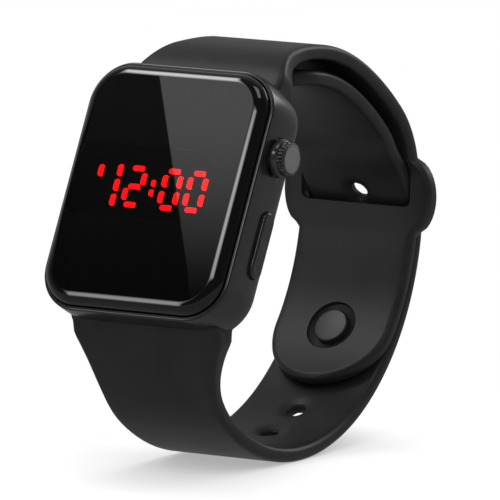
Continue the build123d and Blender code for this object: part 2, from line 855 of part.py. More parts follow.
stem_end = crown_end - crown_face_thickness
crown_clip_start = tube_start - clip_thickness - clip_end_gap
with BuildPart() as crown_stem:
    revolve(
        turned_profile(
            crown_along,
            crown_height,
            [
                (stem_start, 0),
                (stem_start, stem_radius),
                (crown_clip_start, stem_radius),
                (crown_clip_start, clip_groove_radius),
                (crown_clip_start + clip_thickness, clip_groove_radius),
                (crown_clip_start + clip_thickness, stem_radius),
                (stem_end, stem_radius),
                (stem_end, 0),
            ],
        ),
        axis=crown_axis,
    )
crown_stem.part.label = "crown_stem"
export_step(crown_stem.part, "parts/crown_stem.step")


def open_clip(along, height, start, outer_radius, inner_radius, opening):
    """Flat retaining clip: a ring with one opening, standing across a stem."""
    with BuildPart() as clip:
        with BuildSketch(side_plane(start, along, height)):
            RegularPolygon(outer_radius, ring_sides)
            RegularPolygon(inner_radius, ring_sides, major_radius=False, mode=Mode.SUBTRACT)
            with Locations((outer_radius, 0)):
                Rectangle(2 * outer_radius, opening, mode=Mode.SUBTRACT)
        extrude(amount=clip_thickness)
    return clip.part


with BuildPart() as crown_clip:
    add(
        open_clip(
            crown_along,
            crown_height,
            crown_clip_start,
            clip_radius,
            clip_groove_radius + clip_gap,
            clip_opening,
        )
    )
crown_clip.part.label = "crown_clip"
export_step(crown_clip.part, "parts/crown_clip.step")

washer_end = crown_start + crown_pocket_depth - washer_gap
with BuildPart() as crown_washer:
    with BuildSketch(side_plane(washer_end, crown_along, crown_height)):
        RegularPolygon(washer_radius, ring_sides)
        RegularPolygon(tube_bore_radius, ring_sides, major_radius=False, mode=Mode.SUBTRACT)
    extrude(amount=-washer_thickness)
crown_washer.part.label = "crown_washer"
export_step(crown_washer.part, "parts/crown_washer.step")

with BuildPart() as crown_spring:
    add(
        coil(
            crown_along,
            crown_height,
            crown_recess_floor + tube_flange_thickness,
            washer_end - washer_thickness,
            crown_spring_radius,
            crown_spring_turns,
        )
    )
crown_spring.part.label = "crown_spring"
export_step(crown_spring.part, "parts/crown_spring.step")

crown_teeth = []
for k in range(2 * crown_teeth_count):
    tooth_angle = radians(180 * k / crown_teeth_count)
    tooth_reach = crown_radius - crown_tooth_depth * (k % 2)
    crown_teeth.append((tooth_reach * cos(tooth_angle), tooth_reach * sin(tooth_angle)))

with BuildPart() as crown_knob:
    revolve(
        turned_profile(
            crown_along,
            crown_height,
            [
                (crown_start, crown_pocket_radius),
                (crown_start, crown_inner_radius),
                (crown_rim_start, crown_radius - crown_tooth_depth),
                (crown_rim_end, crown_radius - crown_tooth_depth),
                (crown_end, crown_face_radius),
                (crown_end, 0),
                (stem_end, 0),
                (stem_end, stem_radius),
                (crown_start + crown_pocket_depth, stem_radius),
                (crown_start + crown_pocket_depth, crown_pocket_radius),
            ],
        ),
        axis=crown_axis,
    )
    with BuildSketch(side_plane(crown_rim_start, crown_along, crown_height)):
        with BuildLine():
            Polyline(*crown_teeth, close=True)
        make_face()
        Circle(crown_face_radius, mode=Mode.SUBTRACT)
    extrude(amount=crown_rim_end - crown_rim_start)
crown_knob.part.label = "crown_knob"
export_step(crown_knob.part, "parts/crown_knob.step")

# Side button: cap and stem in one piece, with its seal, spring and clip
button_start = button_top - button_thickness
button_clip_start = cavity_width / 2 - clip_end_gap - clip_thickness
with BuildPart() as side_button:
    with BuildSketch(side_plane(button_start, button_along, button_height)):
        SlotOverall(button_length, button_width)
    extrude(amount=button_thickness)
    chamfer(side_button.faces().sort_by(Axis.X)[-1].edges(), button_edge_chamfer)
    with BuildSketch(side_plane(button_stem_start, button_along, button_height)):
        RegularPolygon(button_stem_radius, ring_sides)
    extrude(amount=button_start - button_stem_start)
    with BuildSketch(side_plane(button_clip_start, button_along, button_height)):
        RegularPolygon(button_stem_radius + overrun, ring_sides)
        RegularPolygon(button_groove_radius, ring_sides, mode=Mode.SUBTRACT)
    extrude(amount=clip_thickness, mode=Mode.SUBTRACT)
side_button.part.label = "side_button"
export_step(side_button.part, "parts/side_button.step")

with BuildPart() as button_clip:
    add(
        open_clip(
            button_along,
            button_height,
            button_clip_start,
            button_clip_radius,
            button_groove_radius + clip_gap,
            2 * button_groove_radius,
        )
    )
button_clip.part.label = "button_clip"
export_step(button_clip.part, "parts/button_clip.step")

with BuildPart() as button_gasket:
    add(
        seal_ring(
            seal_well_floor + button_seal_well_depth / 2,
            button_along,
            button_height,
            button_seal_well_radius,
            button_stem_radius,
        )
    )
button_gasket.part.label = "button_gasket"
export_step(button_gasket.part, "parts/button_gasket.step")

with BuildPart() as button_spring:
    add(
        coil(
            button_along,
            button_height,
            spring_well_floor,
            button_start,
            button_spring_radius,
            button_spring_turns,
        )
    )
button_spring.part.label = "button_spring"
export_step(button_spring.part, "parts/button_spring.step")

# Spring bars: a tube in each strap root, with a sprung tip at both ends
tube_half = flare_width / 2 - bar_tube_inset
flange_end = tube_half - bar_lip_thickness - bar_flange_gap
flange_start = flange_end - bar_flange_thickness


def bar_tube(along):
    """Hollow tube whose ends are drawn in to hold the tips."""
    with BuildPart() as tube:
        with BuildSketch(side_plane(-tube_half, along, bar_height)):
            RegularPolygon(bar_tube_radius, bar_sides)
            RegularPolygon(
                bar_tip_radius + bar_lip_clearance,
                bar_sides,
                major_radius=False,
                mode=Mode.SUBTRACT,
            )
        extrude(amount=2 * tube_half)
        with BuildSketch(side_plane(bar_lip_thickness - tube_half, along, bar_height)):
            RegularPolygon(bar_tube_radius - bar_tube_wall, bar_sides, major_radius=False)
        extrude(amount=2 * (tube_half - bar_lip_thickness), mode=Mode.SUBTRACT)
    return tube.part


def bar_tip(along, side):
    """Pin with a flange that holds it inside the tube; its other end stands in the case."""
    with BuildPart() as tip:
        with BuildSketch(side_plane(side * flange_start, along, bar_height)):
            RegularPolygon(bar_tube_radius - bar_tube_wall - bar_lip_clearance, bar_sides)
        extrude(amount=side * bar_flange_thickness)
        with BuildSketch(side_plane(side * flange_end, along, bar_height)):
            RegularPolygon(bar_tip_radius, bar_sides)
        extrude(amount=side * (bar_tip_end - flange_end))
    return tip.part


with BuildPart() as bar_tube_upper:
    add(bar_tube(bar_along))
bar_tube_upper.part.label = "bar_tube_upper"
export_step(bar_tube_upper.part, "parts/bar_tube_upper.step")

with BuildPart() as bar_tube_lower:
    add(bar_tube(-bar_along))
bar_tube_lower.part.label = "bar_tube_lower"
export_step(bar_tube_lower.part, "parts/bar_tube_lower.step")

with BuildPart() as bar_tip_upper_left:
    add(bar_tip(bar_along, -1))
bar_tip_upper_left.part.label = "bar_tip_upper_left"
export_step(bar_tip_upper_left.part, "parts/bar_tip_upper_left.step")

with BuildPart() as bar_tip_upper_right:
    add(bar_tip(bar_along, 1))
bar_tip_upper_right.part.label = "bar_tip_upper_right"
export_step(bar_tip_upper_right.part, "parts/bar_tip_upper_right.step")

with BuildPart() as bar_tip_lower_left:
    add(bar_tip(-bar_along, -1))
bar_tip_lower_left.part.label = "bar_tip_lower_left"
export_step(bar_tip_lower_left.part, "parts/bar_tip_lower_left.step")

with BuildPart() as bar_tip_lower_right:
    add(bar_tip(-bar_along, 1))
bar_tip_lower_right.part.label = "bar_tip_lower_right"
export_step(bar_tip_lower_right.part, "parts/bar_tip_lower_right.step")

with BuildPart() as bar_spring_upper:
    add(coil(bar_along, bar_height, -flange_start, flange_start, bar_spring_radius, bar_spring_turns))
bar_spring_upper.part.label = "bar_spring_upper"
export_step(bar_spring_upper.part, "parts/bar_spring_upper.step")

with BuildPart() as bar_spring_lower:
    add(coil(-bar_along, bar_height, -flange_start, flange_start, bar_spring_radius, bar_spring_turns))
bar_spring_lower.part.label = "bar_spring_lower"
export_step(bar_spring_lower.part, "parts/bar_spring_lower.step")


# Strap loop: centre line of the upper strap in the YZ plane, by station along it
first_place = case_plane.from_local_coords((0, bar_along, bar_height))
last_place = case_plane.from_local_coords((0, -bar_along, bar_height))


def run_chord(length, heading, turn):
    """Shift from the start to the end of one arc."""
    shrink = sin(radians(turn / 2)) / radians(turn / 2)
    middle = radians(heading + turn / 2)
    return Vector(0, cos(middle), sin(middle)) * (length * shrink)


def closed_runs():
    """(length, start heading, turn) of each run, with two lengths set so that the loop closes."""
    headings = [90 - case_tilt + loop_exit_angle]
    for turn in run_turns[:-1]:
        headings.append(headings[-1] + turn)
    lengths = [share * loop_length for share in run_length_shares]
    rest = last_place - first_place
    for k, turn in enumerate(run_turns):
        if k not in closing_runs:
            rest -= run_chord(lengths[k], headings[k], turn)
    first, second = (run_chord(1, headings[k], run_turns[k]) for k in closing_runs)
    area = first.Y * second.Z - first.Z * second.Y
    lengths[closing_runs[0]] = (rest.Y * second.Z - rest.Z * second.Y) / area
    lengths[closing_runs[1]] = (first.Y * rest.Z - first.Z * rest.Y) / area
    return list(zip(lengths, headings, run_turns))


loop_runs = closed_runs()
loop_end = sum(length for length, heading, turn in loop_runs)


def loop_place(station):
    """Point of the loop at a station, and its outward direction there."""
    point = first_place
    left = station
    for length, heading, turn in loop_runs:
        if left <= length or (length, heading, turn) == loop_runs[-1]:
            share = left / length
            if share != 0:
                point = point + run_chord(left, heading, turn * share)
            direction = radians(heading + turn * share)
            return point, Vector(0, -sin(direction), cos(direction))
        point = point + run_chord(length, heading, turn)
        left -= length


def smooth_step(share):
    """Smooth change from nought to one."""
    share = min(max(share, 0), 1)
    return share * share * (3 - 2 * share)


upper_over = strap_thickness + strap_gap
tail_under = strap_thickness + tail_gap


def lower_offset(station):
    """How far the lower strap lies outside the loop line; negative is inside it."""
    if station >= upper_length:
        return upper_over * smooth_step((loop_end - station) / (loop_end - upper_length))
    rise = smooth_step((station - crossing_start) / (crossing_end - crossing_start))
    return (upper_over + tail_under) * rise - tail_under


def upper_offset(station):
    """The upper strap is centred on the loop line."""
    return 0


def track_point(station, offset_law):
    """Middle of a strap at a station."""
    point, outward = loop_place(station)
    return point + outward * offset_law(station)


def section_plane(station, offset_law):
    """Plane square to a strap; its y points to the wrist."""
    ahead = track_point(station + slope_step, offset_law)
    behind = track_point(station - slope_step, offset_law)
    return Plane(origin=track_point(station, offset_law), x_dir=(1, 0, 0), z_dir=ahead - behind)


def surface_plane(station, offset_law):
    """Plane along a strap at a station; its z points outwards and y along the strap."""
    across = section_plane(station, offset_law)
    return Plane(origin=across.origin, x_dir=(1, 0, 0), z_dir=-across.y_dir)


def root_thickness(reach):
    """Strap thickness at a distance from its spring bar."""
    share = min(reach / strap_thinning_length, 1)
    return strap_thickness + (strap_root_thickness - strap_thickness) * (1 - share) ** 2


def root_width(reach, end_width):
    """Strap width at a distance from its spring bar, flared to fill the case."""
    share = min(max((reach - flare_start) / flare_length, 0), 1)
    return end_width + (flare_width - end_width) * (1 - share) ** 2


def even_stations(start, end):
    """Stations from start to end in steps close to the usual one."""
    count = max(round(abs(end - start) / section_step), 2)
    return [start + (end - start) * k / count for k in range(count + 1)]


def strap_section(width, thickness):
    """Strap section, flat towards the wrist and with cut edges outside."""
    x, y = width / 2, thickness / 2
    edge = y - strap_edge_cut
    return Polygon(
        (-x, y), (x, y), (x, -edge), (x - strap_edge_cut, -y), (strap_edge_cut - x, -y), (-x, -edge)
    )


def strap_block(stations, offset_law, width_law, thickness_law):
    """Ruled loft through sections of a strap."""
    sections = []
    for station in stations:
        with BuildSketch(section_plane(station, offset_law)) as section:
            strap_section(width_law(station), thickness_law(station))
        sections.append(section.sketch)
    return loft(sections=sections, ruled=True)


def tip_cutter(station, towards, radius, offset_law):
    """Material outside a half round strap end, whose centre is at a station."""
    with BuildPart() as cutter:
        with BuildSketch(surface_plane(station, offset_law)):
            with Locations((0, towards * radius)):
                Rectangle(2 * (radius + overrun), 2 * radius)
            Circle(radius, mode=Mode.SUBTRACT)
        extrude(amount=strap_root_thickness, both=True)
    return cutter.part


def upper_width(station):
    return root_width(station, strap_width)


def bulge_share(station):
    """Half ellipse across the keeper bulge."""
    share = (station - bulge_station) / bulge_half_length
    return max(1 - share * share, 0) ** 0.5


def bulge_section_width(station):
    return strap_width + 2 * bulge_reach * bulge_share(station)


def bulge_thickness(station):
    return strap_thickness + bulge_extra_thickness * bulge_share(station)


bulge_start = bulge_station - bulge_half_length
bulge_end = bulge_station + bulge_half_length
flare_end = flare_start + flare_length
bulge_stations = [
    bulge_station - bulge_half_length * cos(radians(180 * k / bulge_sections))
    for k in range(bulge_sections + 1)
]
slot_middle = (slot_start + slot_end) / 2


def slot_cutter_width(station):
    return slot_width


def slot_cutter_thickness(station):
    return strap_thickness + 2 * slot_clearance


# Upper strap with its root tube, keeper bulge, slot for the tail and place for the stud
with BuildPart() as strap_upper:
    with BuildSketch(side_plane(-flare_width / 2, bar_along, bar_height)):
        RegularPolygon(root_radius, root_sides)
    extrude(amount=flare_width)
    add(strap_block(even_stations(0, flare_start), upper_offset, upper_width, root_thickness))
    add(strap_block(even_stations(flare_start, flare_end), upper_offset, upper_width, root_thickness))
    add(strap_block(even_stations(flare_end, bulge_start), upper_offset, upper_width, root_thickness))
    add(strap_block(bulge_stations, upper_offset, bulge_section_width, bulge_thickness))
    add(strap_block(even_stations(bulge_end, upper_length), upper_offset, upper_width, root_thickness))
    add(
        tip_cutter(upper_length - strap_width / 2, 1, strap_width / 2, upper_offset),
        mode=Mode.SUBTRACT,
    )
    with BuildSketch(side_plane(-flare_width / 2, bar_along, bar_height)):
        RegularPolygon(bar_tube_radius + bar_bore_clearance, bar_sides, major_radius=False)
    extrude(amount=flare_width, mode=Mode.SUBTRACT)
    with BuildSketch(surface_plane(slot_middle, upper_offset)):
        Rectangle(slot_width, slot_end - slot_start)
    extrude(amount=strap_root_thickness, both=True, mode=Mode.SUBTRACT)
    add(
        strap_block(
            even_stations(crossing_start, crossing_end),
            lower_offset,
            slot_cutter_width,
            slot_cutter_thickness,
        ),
        mode=Mode.SUBTRACT,
    )
    stud_plane = surface_plane(stud_station, upper_offset)
    with BuildSketch(stud_plane):
        RegularPolygon(stud_shaft_radius + stud_clearance, hole_sides, major_radius=False)
    extrude(amount=strap_thickness, both=True, mode=Mode.SUBTRACT)
    with BuildSketch(stud_plane.offset(stud_recess_depth - strap_thickness / 2)):
        Circle(stud_recess_radius)
    extrude(amount=-strap_thickness, mode=Mode.SUBTRACT)
strap_upper.part.label = "strap_upper"
export_step(strap_upper.part, "parts/strap_upper.step")


def lower_reach_thickness(station):
    return root_thickness(loop_end - station)


def lower_section_width(station):
    """Flared at the root, then narrowing until the strap is over the slot."""
    reach = loop_end - station
    share = min(max((reach - flare_end) / (loop_end - crossing_end - flare_end), 0), 1)
    return root_width(reach, strap_width) + (lower_width - strap_width) * share


# Lower strap with its root tube, closing holes and the tail inside the loop
tail_radius = lower_width / 2
with BuildPart() as strap_lower:
    with BuildSketch(side_plane(-flare_width / 2, -bar_along, bar_height)):
        RegularPolygon(root_radius, root_sides)
    extrude(amount=flare_width)
    lower_joints = [
        loop_end,
        loop_end - flare_start,
        loop_end - flare_end,
        upper_length,
        crossing_end,
        crossing_start,
        lower_tail_station,
    ]
    for block_start, block_end in zip(lower_joints, lower_joints[1:]):
        add(
            strap_block(
                even_stations(block_start, block_end),
                lower_offset,
                lower_section_width,
                lower_reach_thickness,
            )
        )
    add(
        tip_cutter(lower_tail_station + tail_radius, -1, tail_radius, lower_offset),
        mode=Mode.SUBTRACT,
    )
    with BuildSketch(side_plane(-flare_width / 2, -bar_along, bar_height)):
        RegularPolygon(bar_tube_radius + bar_bore_clearance, bar_sides, major_radius=False)
    extrude(amount=flare_width, mode=Mode.SUBTRACT)
    for k in range(-holes_towards_tail, holes_towards_root + 1):
        with BuildSketch(surface_plane(stud_station + k * hole_pitch, lower_offset)):
            RegularPolygon(hole_radius, hole_sides)
        extrude(amount=strap_thickness, both=True, mode=Mode.SUBTRACT)
strap_lower.part.label = "strap_lower"
export_step(strap_lower.part, "parts/strap_lower.step")

# Closure stud: base inside the upper strap, shaft through both straps and head outside
with BuildPart() as closure_stud:
    base_floor = stud_recess_depth - strap_thickness / 2
    head_floor = upper_over + strap_thickness / 2 + stud_head_gap
    with BuildSketch(stud_plane.offset(base_floor)):
        Circle(stud_base_radius)
    extrude(amount=-stud_base_thickness)
    with BuildSketch(stud_plane.offset(base_floor)):
        Circle(stud_shaft_radius)
    extrude(amount=head_floor - base_floor)
    with BuildSketch(stud_plane.offset(head_floor)):
        Circle(stud_head_radius)
    extrude(amount=stud_head_thickness)
    stud_faces = closure_stud.faces().sort_by(Axis((0, 0, 0), stud_plane.z_dir))
    chamfer(stud_faces[0].edges() + stud_faces[-1].edges(), stud_chamfer)
closure_stud.part.label = "closure_stud"
export_step(closure_stud.part, "parts/closure_stud.step")
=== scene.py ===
"""Look of the square digital watch: its glass, metal, glowing digits and silicone strap.

Metres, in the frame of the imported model: the origin is the centre of the case back, +X points to
the crown and +Z up. Sizes that the CAD model also has are repeated here in millimetres and turned
into metres by MM.
"""
from math import acos, ceil, cos, pi, radians, sin, tan

import bmesh
import bpy
from mathutils import Matrix, Vector


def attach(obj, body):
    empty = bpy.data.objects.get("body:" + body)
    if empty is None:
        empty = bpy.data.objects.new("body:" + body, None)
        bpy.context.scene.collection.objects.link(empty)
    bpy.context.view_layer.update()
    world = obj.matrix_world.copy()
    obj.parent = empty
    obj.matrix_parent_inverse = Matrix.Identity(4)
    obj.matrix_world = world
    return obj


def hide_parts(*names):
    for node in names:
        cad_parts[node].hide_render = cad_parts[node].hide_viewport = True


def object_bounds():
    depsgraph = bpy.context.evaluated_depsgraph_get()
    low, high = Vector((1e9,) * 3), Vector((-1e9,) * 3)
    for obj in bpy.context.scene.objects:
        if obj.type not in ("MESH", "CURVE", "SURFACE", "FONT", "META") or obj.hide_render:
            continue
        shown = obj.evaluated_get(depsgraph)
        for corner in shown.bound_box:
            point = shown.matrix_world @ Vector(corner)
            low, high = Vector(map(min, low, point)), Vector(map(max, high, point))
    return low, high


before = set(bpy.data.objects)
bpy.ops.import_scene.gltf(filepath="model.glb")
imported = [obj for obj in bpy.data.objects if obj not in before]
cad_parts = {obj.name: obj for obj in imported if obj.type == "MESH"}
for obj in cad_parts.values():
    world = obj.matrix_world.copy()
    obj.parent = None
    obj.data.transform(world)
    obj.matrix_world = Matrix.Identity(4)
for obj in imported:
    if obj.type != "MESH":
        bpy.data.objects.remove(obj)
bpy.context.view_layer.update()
MM = 0.001

# Case: directions of the dial, which leans back by some degrees, and sizes
CASE_LEAN = 26.4
CASE_TILT = radians(CASE_LEAN)
ACROSS = Vector((1, 0, 0))
DIAL_UP = Vector((0, sin(CASE_TILT), cos(CASE_TILT)))
DIAL_OUT = Vector((0, -cos(CASE_TILT), sin(CASE_TILT)))
CASE_WIDTH = 35.0 * MM
CASE_LENGTH = 42.0 * MM
CASE_CORNER_RADIUS = 7.2 * MM
# (inset, height) of the outer wall from the back up, in millimetres
CASE_WALL = (
    (1.4, 0.3), (1.1, 0.34), (0.85, 0.44), (0.62, 0.62), (0.45, 0.88), (0.33, 1.2), (0.24, 1.6),
    (0.17, 2.1), (0.11, 2.8), (0.06, 3.6), (0.02, 4.6), (0.0, 5.8), (0.0, 7.0), (0.02, 7.9),
    (0.05, 8.6),
)
RIM_HEIGHT = 9.4 * MM
RIM_ROUND = 0.3 * MM
RIM_LEAN = 0.08 * MM
RIM_WIDTH = 0.75 * MM
SEAT_HEIGHT = 8.2 * MM
DECK_BOTTOM = 7.4 * MM
MOUTH_BEVEL = 0.1 * MM
OVERRUN = 1.0 * MM
CAVITY_WIDTH = 27.8 * MM
CAVITY_LENGTH = 26.6 * MM
CAVITY_CORNER_CUT = 3.8 * MM
BACK_SEAT_WIDTH = 30.8 * MM
BACK_SEAT_LENGTH = 29.6 * MM
BACK_SEAT_RADIUS = 3.5 * MM
BACK_SEAT_HEIGHT = 1.1 * MM
BACK_SCREW_X = 13.1 * MM
BACK_SCREW_ALONG = 12.5 * MM
SCREW_HOLE_RADIUS = 0.58 * MM
SCREW_LENGTH = 3.4 * MM
POCKET_INNER = 15.75 * MM
POCKET_TOP = 5.05 * MM
POCKET_WIDTH = 28.4 * MM
POCKET_CORNER_RADIUS = 0.05 * MM
BAR_HOLE_RADIUS = 0.47 * MM
BAR_HOLE_END = 15.0 * MM

# Glass
GLASS_WIDTH = 33.4 * MM
GLASS_LENGTH = 40.4 * MM
GLASS_CORNER_RADIUS = 6.4 * MM
GLASS_BOTTOM = 8.5 * MM
GLASS_THICKNESS = 2.8 * MM
GLASS_EDGE_ROUND = 1.9 * MM
PLATE_BOTTOM = 10.7 * MM

# Display: window in the deck and light pills, whose places count from the middle row
WINDOW_X = -2.4975 * MM
WINDOW_WIDTH = 22.575 * MM
WINDOW_LENGTH = 8.5 * MM
WINDOW_RADIUS = 0.02 * MM
CLEAR_WIDTH = 26.0 * MM
CLEAR_LENGTH = 12.0 * MM
MIDDLE_ROW = 0.65 * MM
DIGIT_RISE = 3.05 * MM
UPRIGHT_RISE = 1.35 * MM
DIGIT_WIDTH = 2.85 * MM
DIGIT_PITCH = 4.76 * MM
COLON_X = -2.0 * MM
TWO_X = -5.42 * MM
ZERO_X = 1.42 * MM
ONE_X = -8.82 * MM
ONE_PITCH = 2.5 * MM
MARK_X = -12.42 * MM
MARK_RISE = 2.2 * MM
DOT_RISE = 0.8 * MM
UPRIGHT_LENGTH = 2.1 * MM
UPRIGHT_WIDTH = 1.15 * MM
LEVEL_LENGTH = 2.35 * MM
LEVEL_WIDTH = 1.0 * MM
DOT_LENGTH = 1.25 * MM
PILL_BOTTOM = 6.4 * MM
PILL_TOP = 8.45 * MM
PILL_ROUND = 0.12 * MM
PILL_ROUNDNESS = 0.99
PILL_SLIMMER = 0.13 * MM
PILL_STEPS = 6
# (inset, height) of a pill's outline, from its foot up
PILL_ROWS = (
    (0.0, PILL_BOTTOM), (0.0, PILL_TOP - PILL_ROUND),
    (0.3 * PILL_ROUND, PILL_TOP - 0.3 * PILL_ROUND), (PILL_ROUND, PILL_TOP),
)

# Crown
CROWN_ALONG = 8.4 * MM
CROWN_HEIGHT = 4.9 * MM
CROWN_TEETH = 30
CROWN_TOOTH_DEPTH = 0.28 * MM
CROWN_RECESS_RADIUS = 3.3 * MM
CROWN_RECESS_DEPTH = 0.5 * MM
TUBE_RADIUS = 1.2 * MM

# Side button
BUTTON_ALONG = -5.8 * MM
BUTTON_HEIGHT = 3.6 * MM
BUTTON_LENGTH = 11.0 * MM
BUTTON_WIDTH = 3.0 * MM
BUTTON_CLEARANCE = 0.14 * MM
BUTTON_POCKET_FLOOR = 16.0 * MM
BUTTON_TOP = 18.15 * MM
BUTTON_THICKNESS = 1.6 * MM
BUTTON_ROUND = 0.4 * MM
BUTTON_STEM_RADIUS = 0.5 * MM
BUTTON_STEM_START = 13.45 * MM
BUTTON_GROOVE_RADIUS = 0.32 * MM
BUTTON_GROOVE_START = 13.65 * MM
BUTTON_GROOVE_END = 13.85 * MM
BUTTON_BORE_RADIUS = 0.55 * MM
SPRING_WELL_RADIUS = 1.2 * MM
SPRING_WELL_FLOOR = 15.1 * MM
SEAL_WELL_RADIUS = 0.9 * MM
SEAL_WELL_FLOOR = 14.65 * MM

# Strap loop: runs of tangent arcs from the 12 o'clock spring bar round to the 6 o'clock one
BAR_ALONG = 18.6 * MM
BAR_HEIGHT = 2.2 * MM
LOOP_LENGTH = 155.4 * MM
LOOP_EXIT_ANGLE = 6.4
RUN_LENGTH_SHARES = (0.0606, 0.141, 0.091, 0.0786, 0.106, 0.225, 0.170, 0.0687, 0.0589)
RUN_TURNS = (-60.0, -38.7, -16.0, -42.2, -24.3, -55.7, -46.5, -39.2, -18.3)
CLOSING_RUNS = (4, 6)

# Straps
STRAP_WIDTH = 22.0 * MM
STRAP_THICKNESS = 2.4 * MM
ROOT_THICKNESS = 5.2 * MM
ROOT_RADIUS = 2.6 * MM
THINNING_LENGTH = 18.0 * MM
FLARE_WIDTH = 28.0 * MM
FLARE_START = 3.4 * MM
FLARE_LENGTH = 11.5 * MM
STRAP_GAP = 0.35 * MM
UPPER_LENGTH = 95.5 * MM
LOWER_WIDTH = 20.4 * MM
TAIL_STATION = 9.5 * MM
TAIL_GAP = 1.8 * MM
CROSSING_START = 50.0 * MM
CROSSING_END = 68.0 * MM
SLOT_START = 58.0 * MM
SLOT_END = 62.8 * MM
SLOT_WIDTH = 21.0 * MM
SLOT_CLEARANCE = 0.12 * MM
SLOT_CORNER_RADIUS = 1.2 * MM
BULGE_STATION = 61.2 * MM
BULGE_HALF_LENGTH = 5.9 * MM
BULGE_WIDTH = 28.4 * MM
BULGE_EXTRA = 0.5 * MM
EDGE_RADIUS = 0.95 * MM
EDGE_SHARE = 0.48
LEAST_REACH = 0.2 * MM
LEAST_INSET = 0.01 * MM
BORE_RADIUS = 0.9 * MM
FLAT_STEPS = 22
ROUND_STEPS = 6
TIP_STEPS = 24
STATION_STEP = 0.8 * MM

# Closure
STUD_STATION = 84.6 * MM
HOLE_PITCH = 8.0 * MM
HOLE_RADIUS = 1.45 * MM
DIMPLE_RADIUS = 2.7 * MM
DIMPLE_DEPTH = 0.5 * MM
DIMPLE_FLOOR = 0.55
DIMPLE_FACE = 0.3
HOLE_LIP = 0.2 * MM
STUD_RECESS_RADIUS = 4.4 * MM
# (height over the inner face, inset) of the recess round the stud's base
STUD_RECESS_ROWS = (
    (-2 * STRAP_THICKNESS, 0.0), (-0.1 * MM, 0.0), (0.45 * MM, 0.1 * MM), (0.6 * MM, 0.3 * MM),
)
STUD_HOLE_RADIUS = 1.4 * MM
STUD_BASE_RADIUS = 3.0 * MM
STUD_BASE_START = -1.5 * MM
STUD_BASE_END = -0.6 * MM
STUD_SHAFT_RADIUS = 1.3 * MM
STUD_HEAD_RADIUS = 2.2 * MM
STUD_HEAD_START = 4.0 * MM
STUD_HEAD_END = 4.9 * MM
STUD_ROUND = 0.3 * MM
TOOL_REACH = 3 * STRAP_THICKNESS

# Camera, from the photograph
VIEW_BACK = Vector((0.552, -0.8224, 0.1375))
VIEW_RIGHT = Vector((0.8303, 0.5573, 0.0))
VIEW_UP = Vector((-0.0766, 0.1142, 0.9905))
VIEW_DISTANCE = 1.5
VIEW_LENS = 684.6
AIM_RIGHT = 0.009628
AIM_UP = -0.006264


def case_point(across, along, height):
    """Point of the case from its middle: towards the crown, to 12 o'clock and to the glass."""
    return ACROSS * across + DIAL_UP * along + DIAL_OUT * height


# Materials: fine grain of the bumps, and where the noise of the clouds starts and ends
GRAIN_SCALE = 9000.0
GRAIN_DEPTH = 0.04 * MM
CLOUD_RANGE = (0.35, 0.65)


def add_node(tree, kind, **values):
    """New shader node; a name that isn't one of its properties is an input, set or linked."""
    node = tree.nodes.new("ShaderNode" + kind)
    for name, value in values.items():
        if hasattr(node, name):
            setattr(node, name, value)
        else:
            feed(tree, node.inputs[name.replace("_", " ")], value)
    return node


def feed(tree, socket, value):
    """Set an input to a value, or link it to another node's output."""
    if isinstance(value, bpy.types.NodeSocket):
        tree.links.new(value, socket)
    else:
        socket.default_value = value


def grained(name, dark, light, scale, roughness, bump, spread=0.08, **constants):
    """Material with cloudy colour, uneven roughness and a fine grain in its surface."""
    material = bpy.data.materials.new(name)
    material.use_nodes = True
    tree = material.node_tree
    shader = tree.nodes["Principled BSDF"]
    for socket, value in constants.items():
        shader.inputs[socket.replace("_", " ")].default_value = value
    place = add_node(tree, "TexCoord").outputs["Object"]
    clouds = add_node(tree, "TexNoise", Vector=place, Scale=scale, Detail=4.0, Roughness=0.55)
    ramp = add_node(tree, "ValToRGB", Fac=clouds.outputs["Fac"])
    for element, position, colour in zip(ramp.color_ramp.elements, CLOUD_RANGE, (dark, light)):
        element.position = position
        element.color = (*colour, 1)
    tree.links.new(ramp.outputs["Color"], shader.inputs["Base Color"])
    sheen = add_node(
        tree, "MapRange", Value=clouds.outputs["Fac"], To_Min=roughness - spread,
        To_Max=roughness + spread,
    )
    tree.links.new(sheen.outputs["Result"], shader.inputs["Roughness"])
    if bump:
        fine = add_node(tree, "TexNoise", Vector=place, Scale=GRAIN_SCALE, Detail=2.0)
        relief = add_node(
            tree, "Bump", Height=fine.outputs["Fac"], Strength=bump, Distance=GRAIN_DEPTH
        )
        tree.links.new(relief.outputs["Normal"], shader.inputs["Normal"])
    return material


def brushed(name, dark, light, stretch, roughness, bump=0.15):
    """Metal with fine lines, stretched along one axis."""
    material = grained(name, dark, light, 900.0, roughness, bump, Metallic=1.0)
    tree = material.node_tree
    place = next(n for n in tree.nodes if n.type == "TEX_COORD").outputs["Object"]
    lines = add_node(tree, "Mapping", Vector=place, Scale=stretch)
    for texture in [n for n in tree.nodes if n.type == "TEX_NOISE"]:
        tree.links.new(lines.outputs["Vector"], texture.inputs["Vector"])
    return material


def glowing(name, colour, strength, dimmer=0.9, paler=1.6):
    """Red light pill in slightly uneven shades, from dimmer to paler."""
    material = grained(name, colour, colour, 900.0, 0.4, 0.0, Specular_IOR_Level=0.1)
    tree = material.node_tree
    shader = tree.nodes["Principled BSDF"]
    shader.inputs["Emission Strength"].default_value = strength
    place = next(n for n in tree.nodes if n.type == "TEX_COORD").outputs["Object"]
    spots = add_node(tree, "TexNoise", Vector=place, Scale=700.0, Detail=1.0)
    tint = add_node(tree, "ValToRGB", Fac=spots.outputs["Fac"])
    tint.color_ramp.elements[0].color = (colour[0] * dimmer, colour[1], colour[2], 1)
    tint.color_ramp.elements[1].color = (colour[0], colour[1] * paler, colour[2] * paler, 1)
    tree.links.new(tint.outputs["Color"], shader.inputs["Emission Color"])
    return material


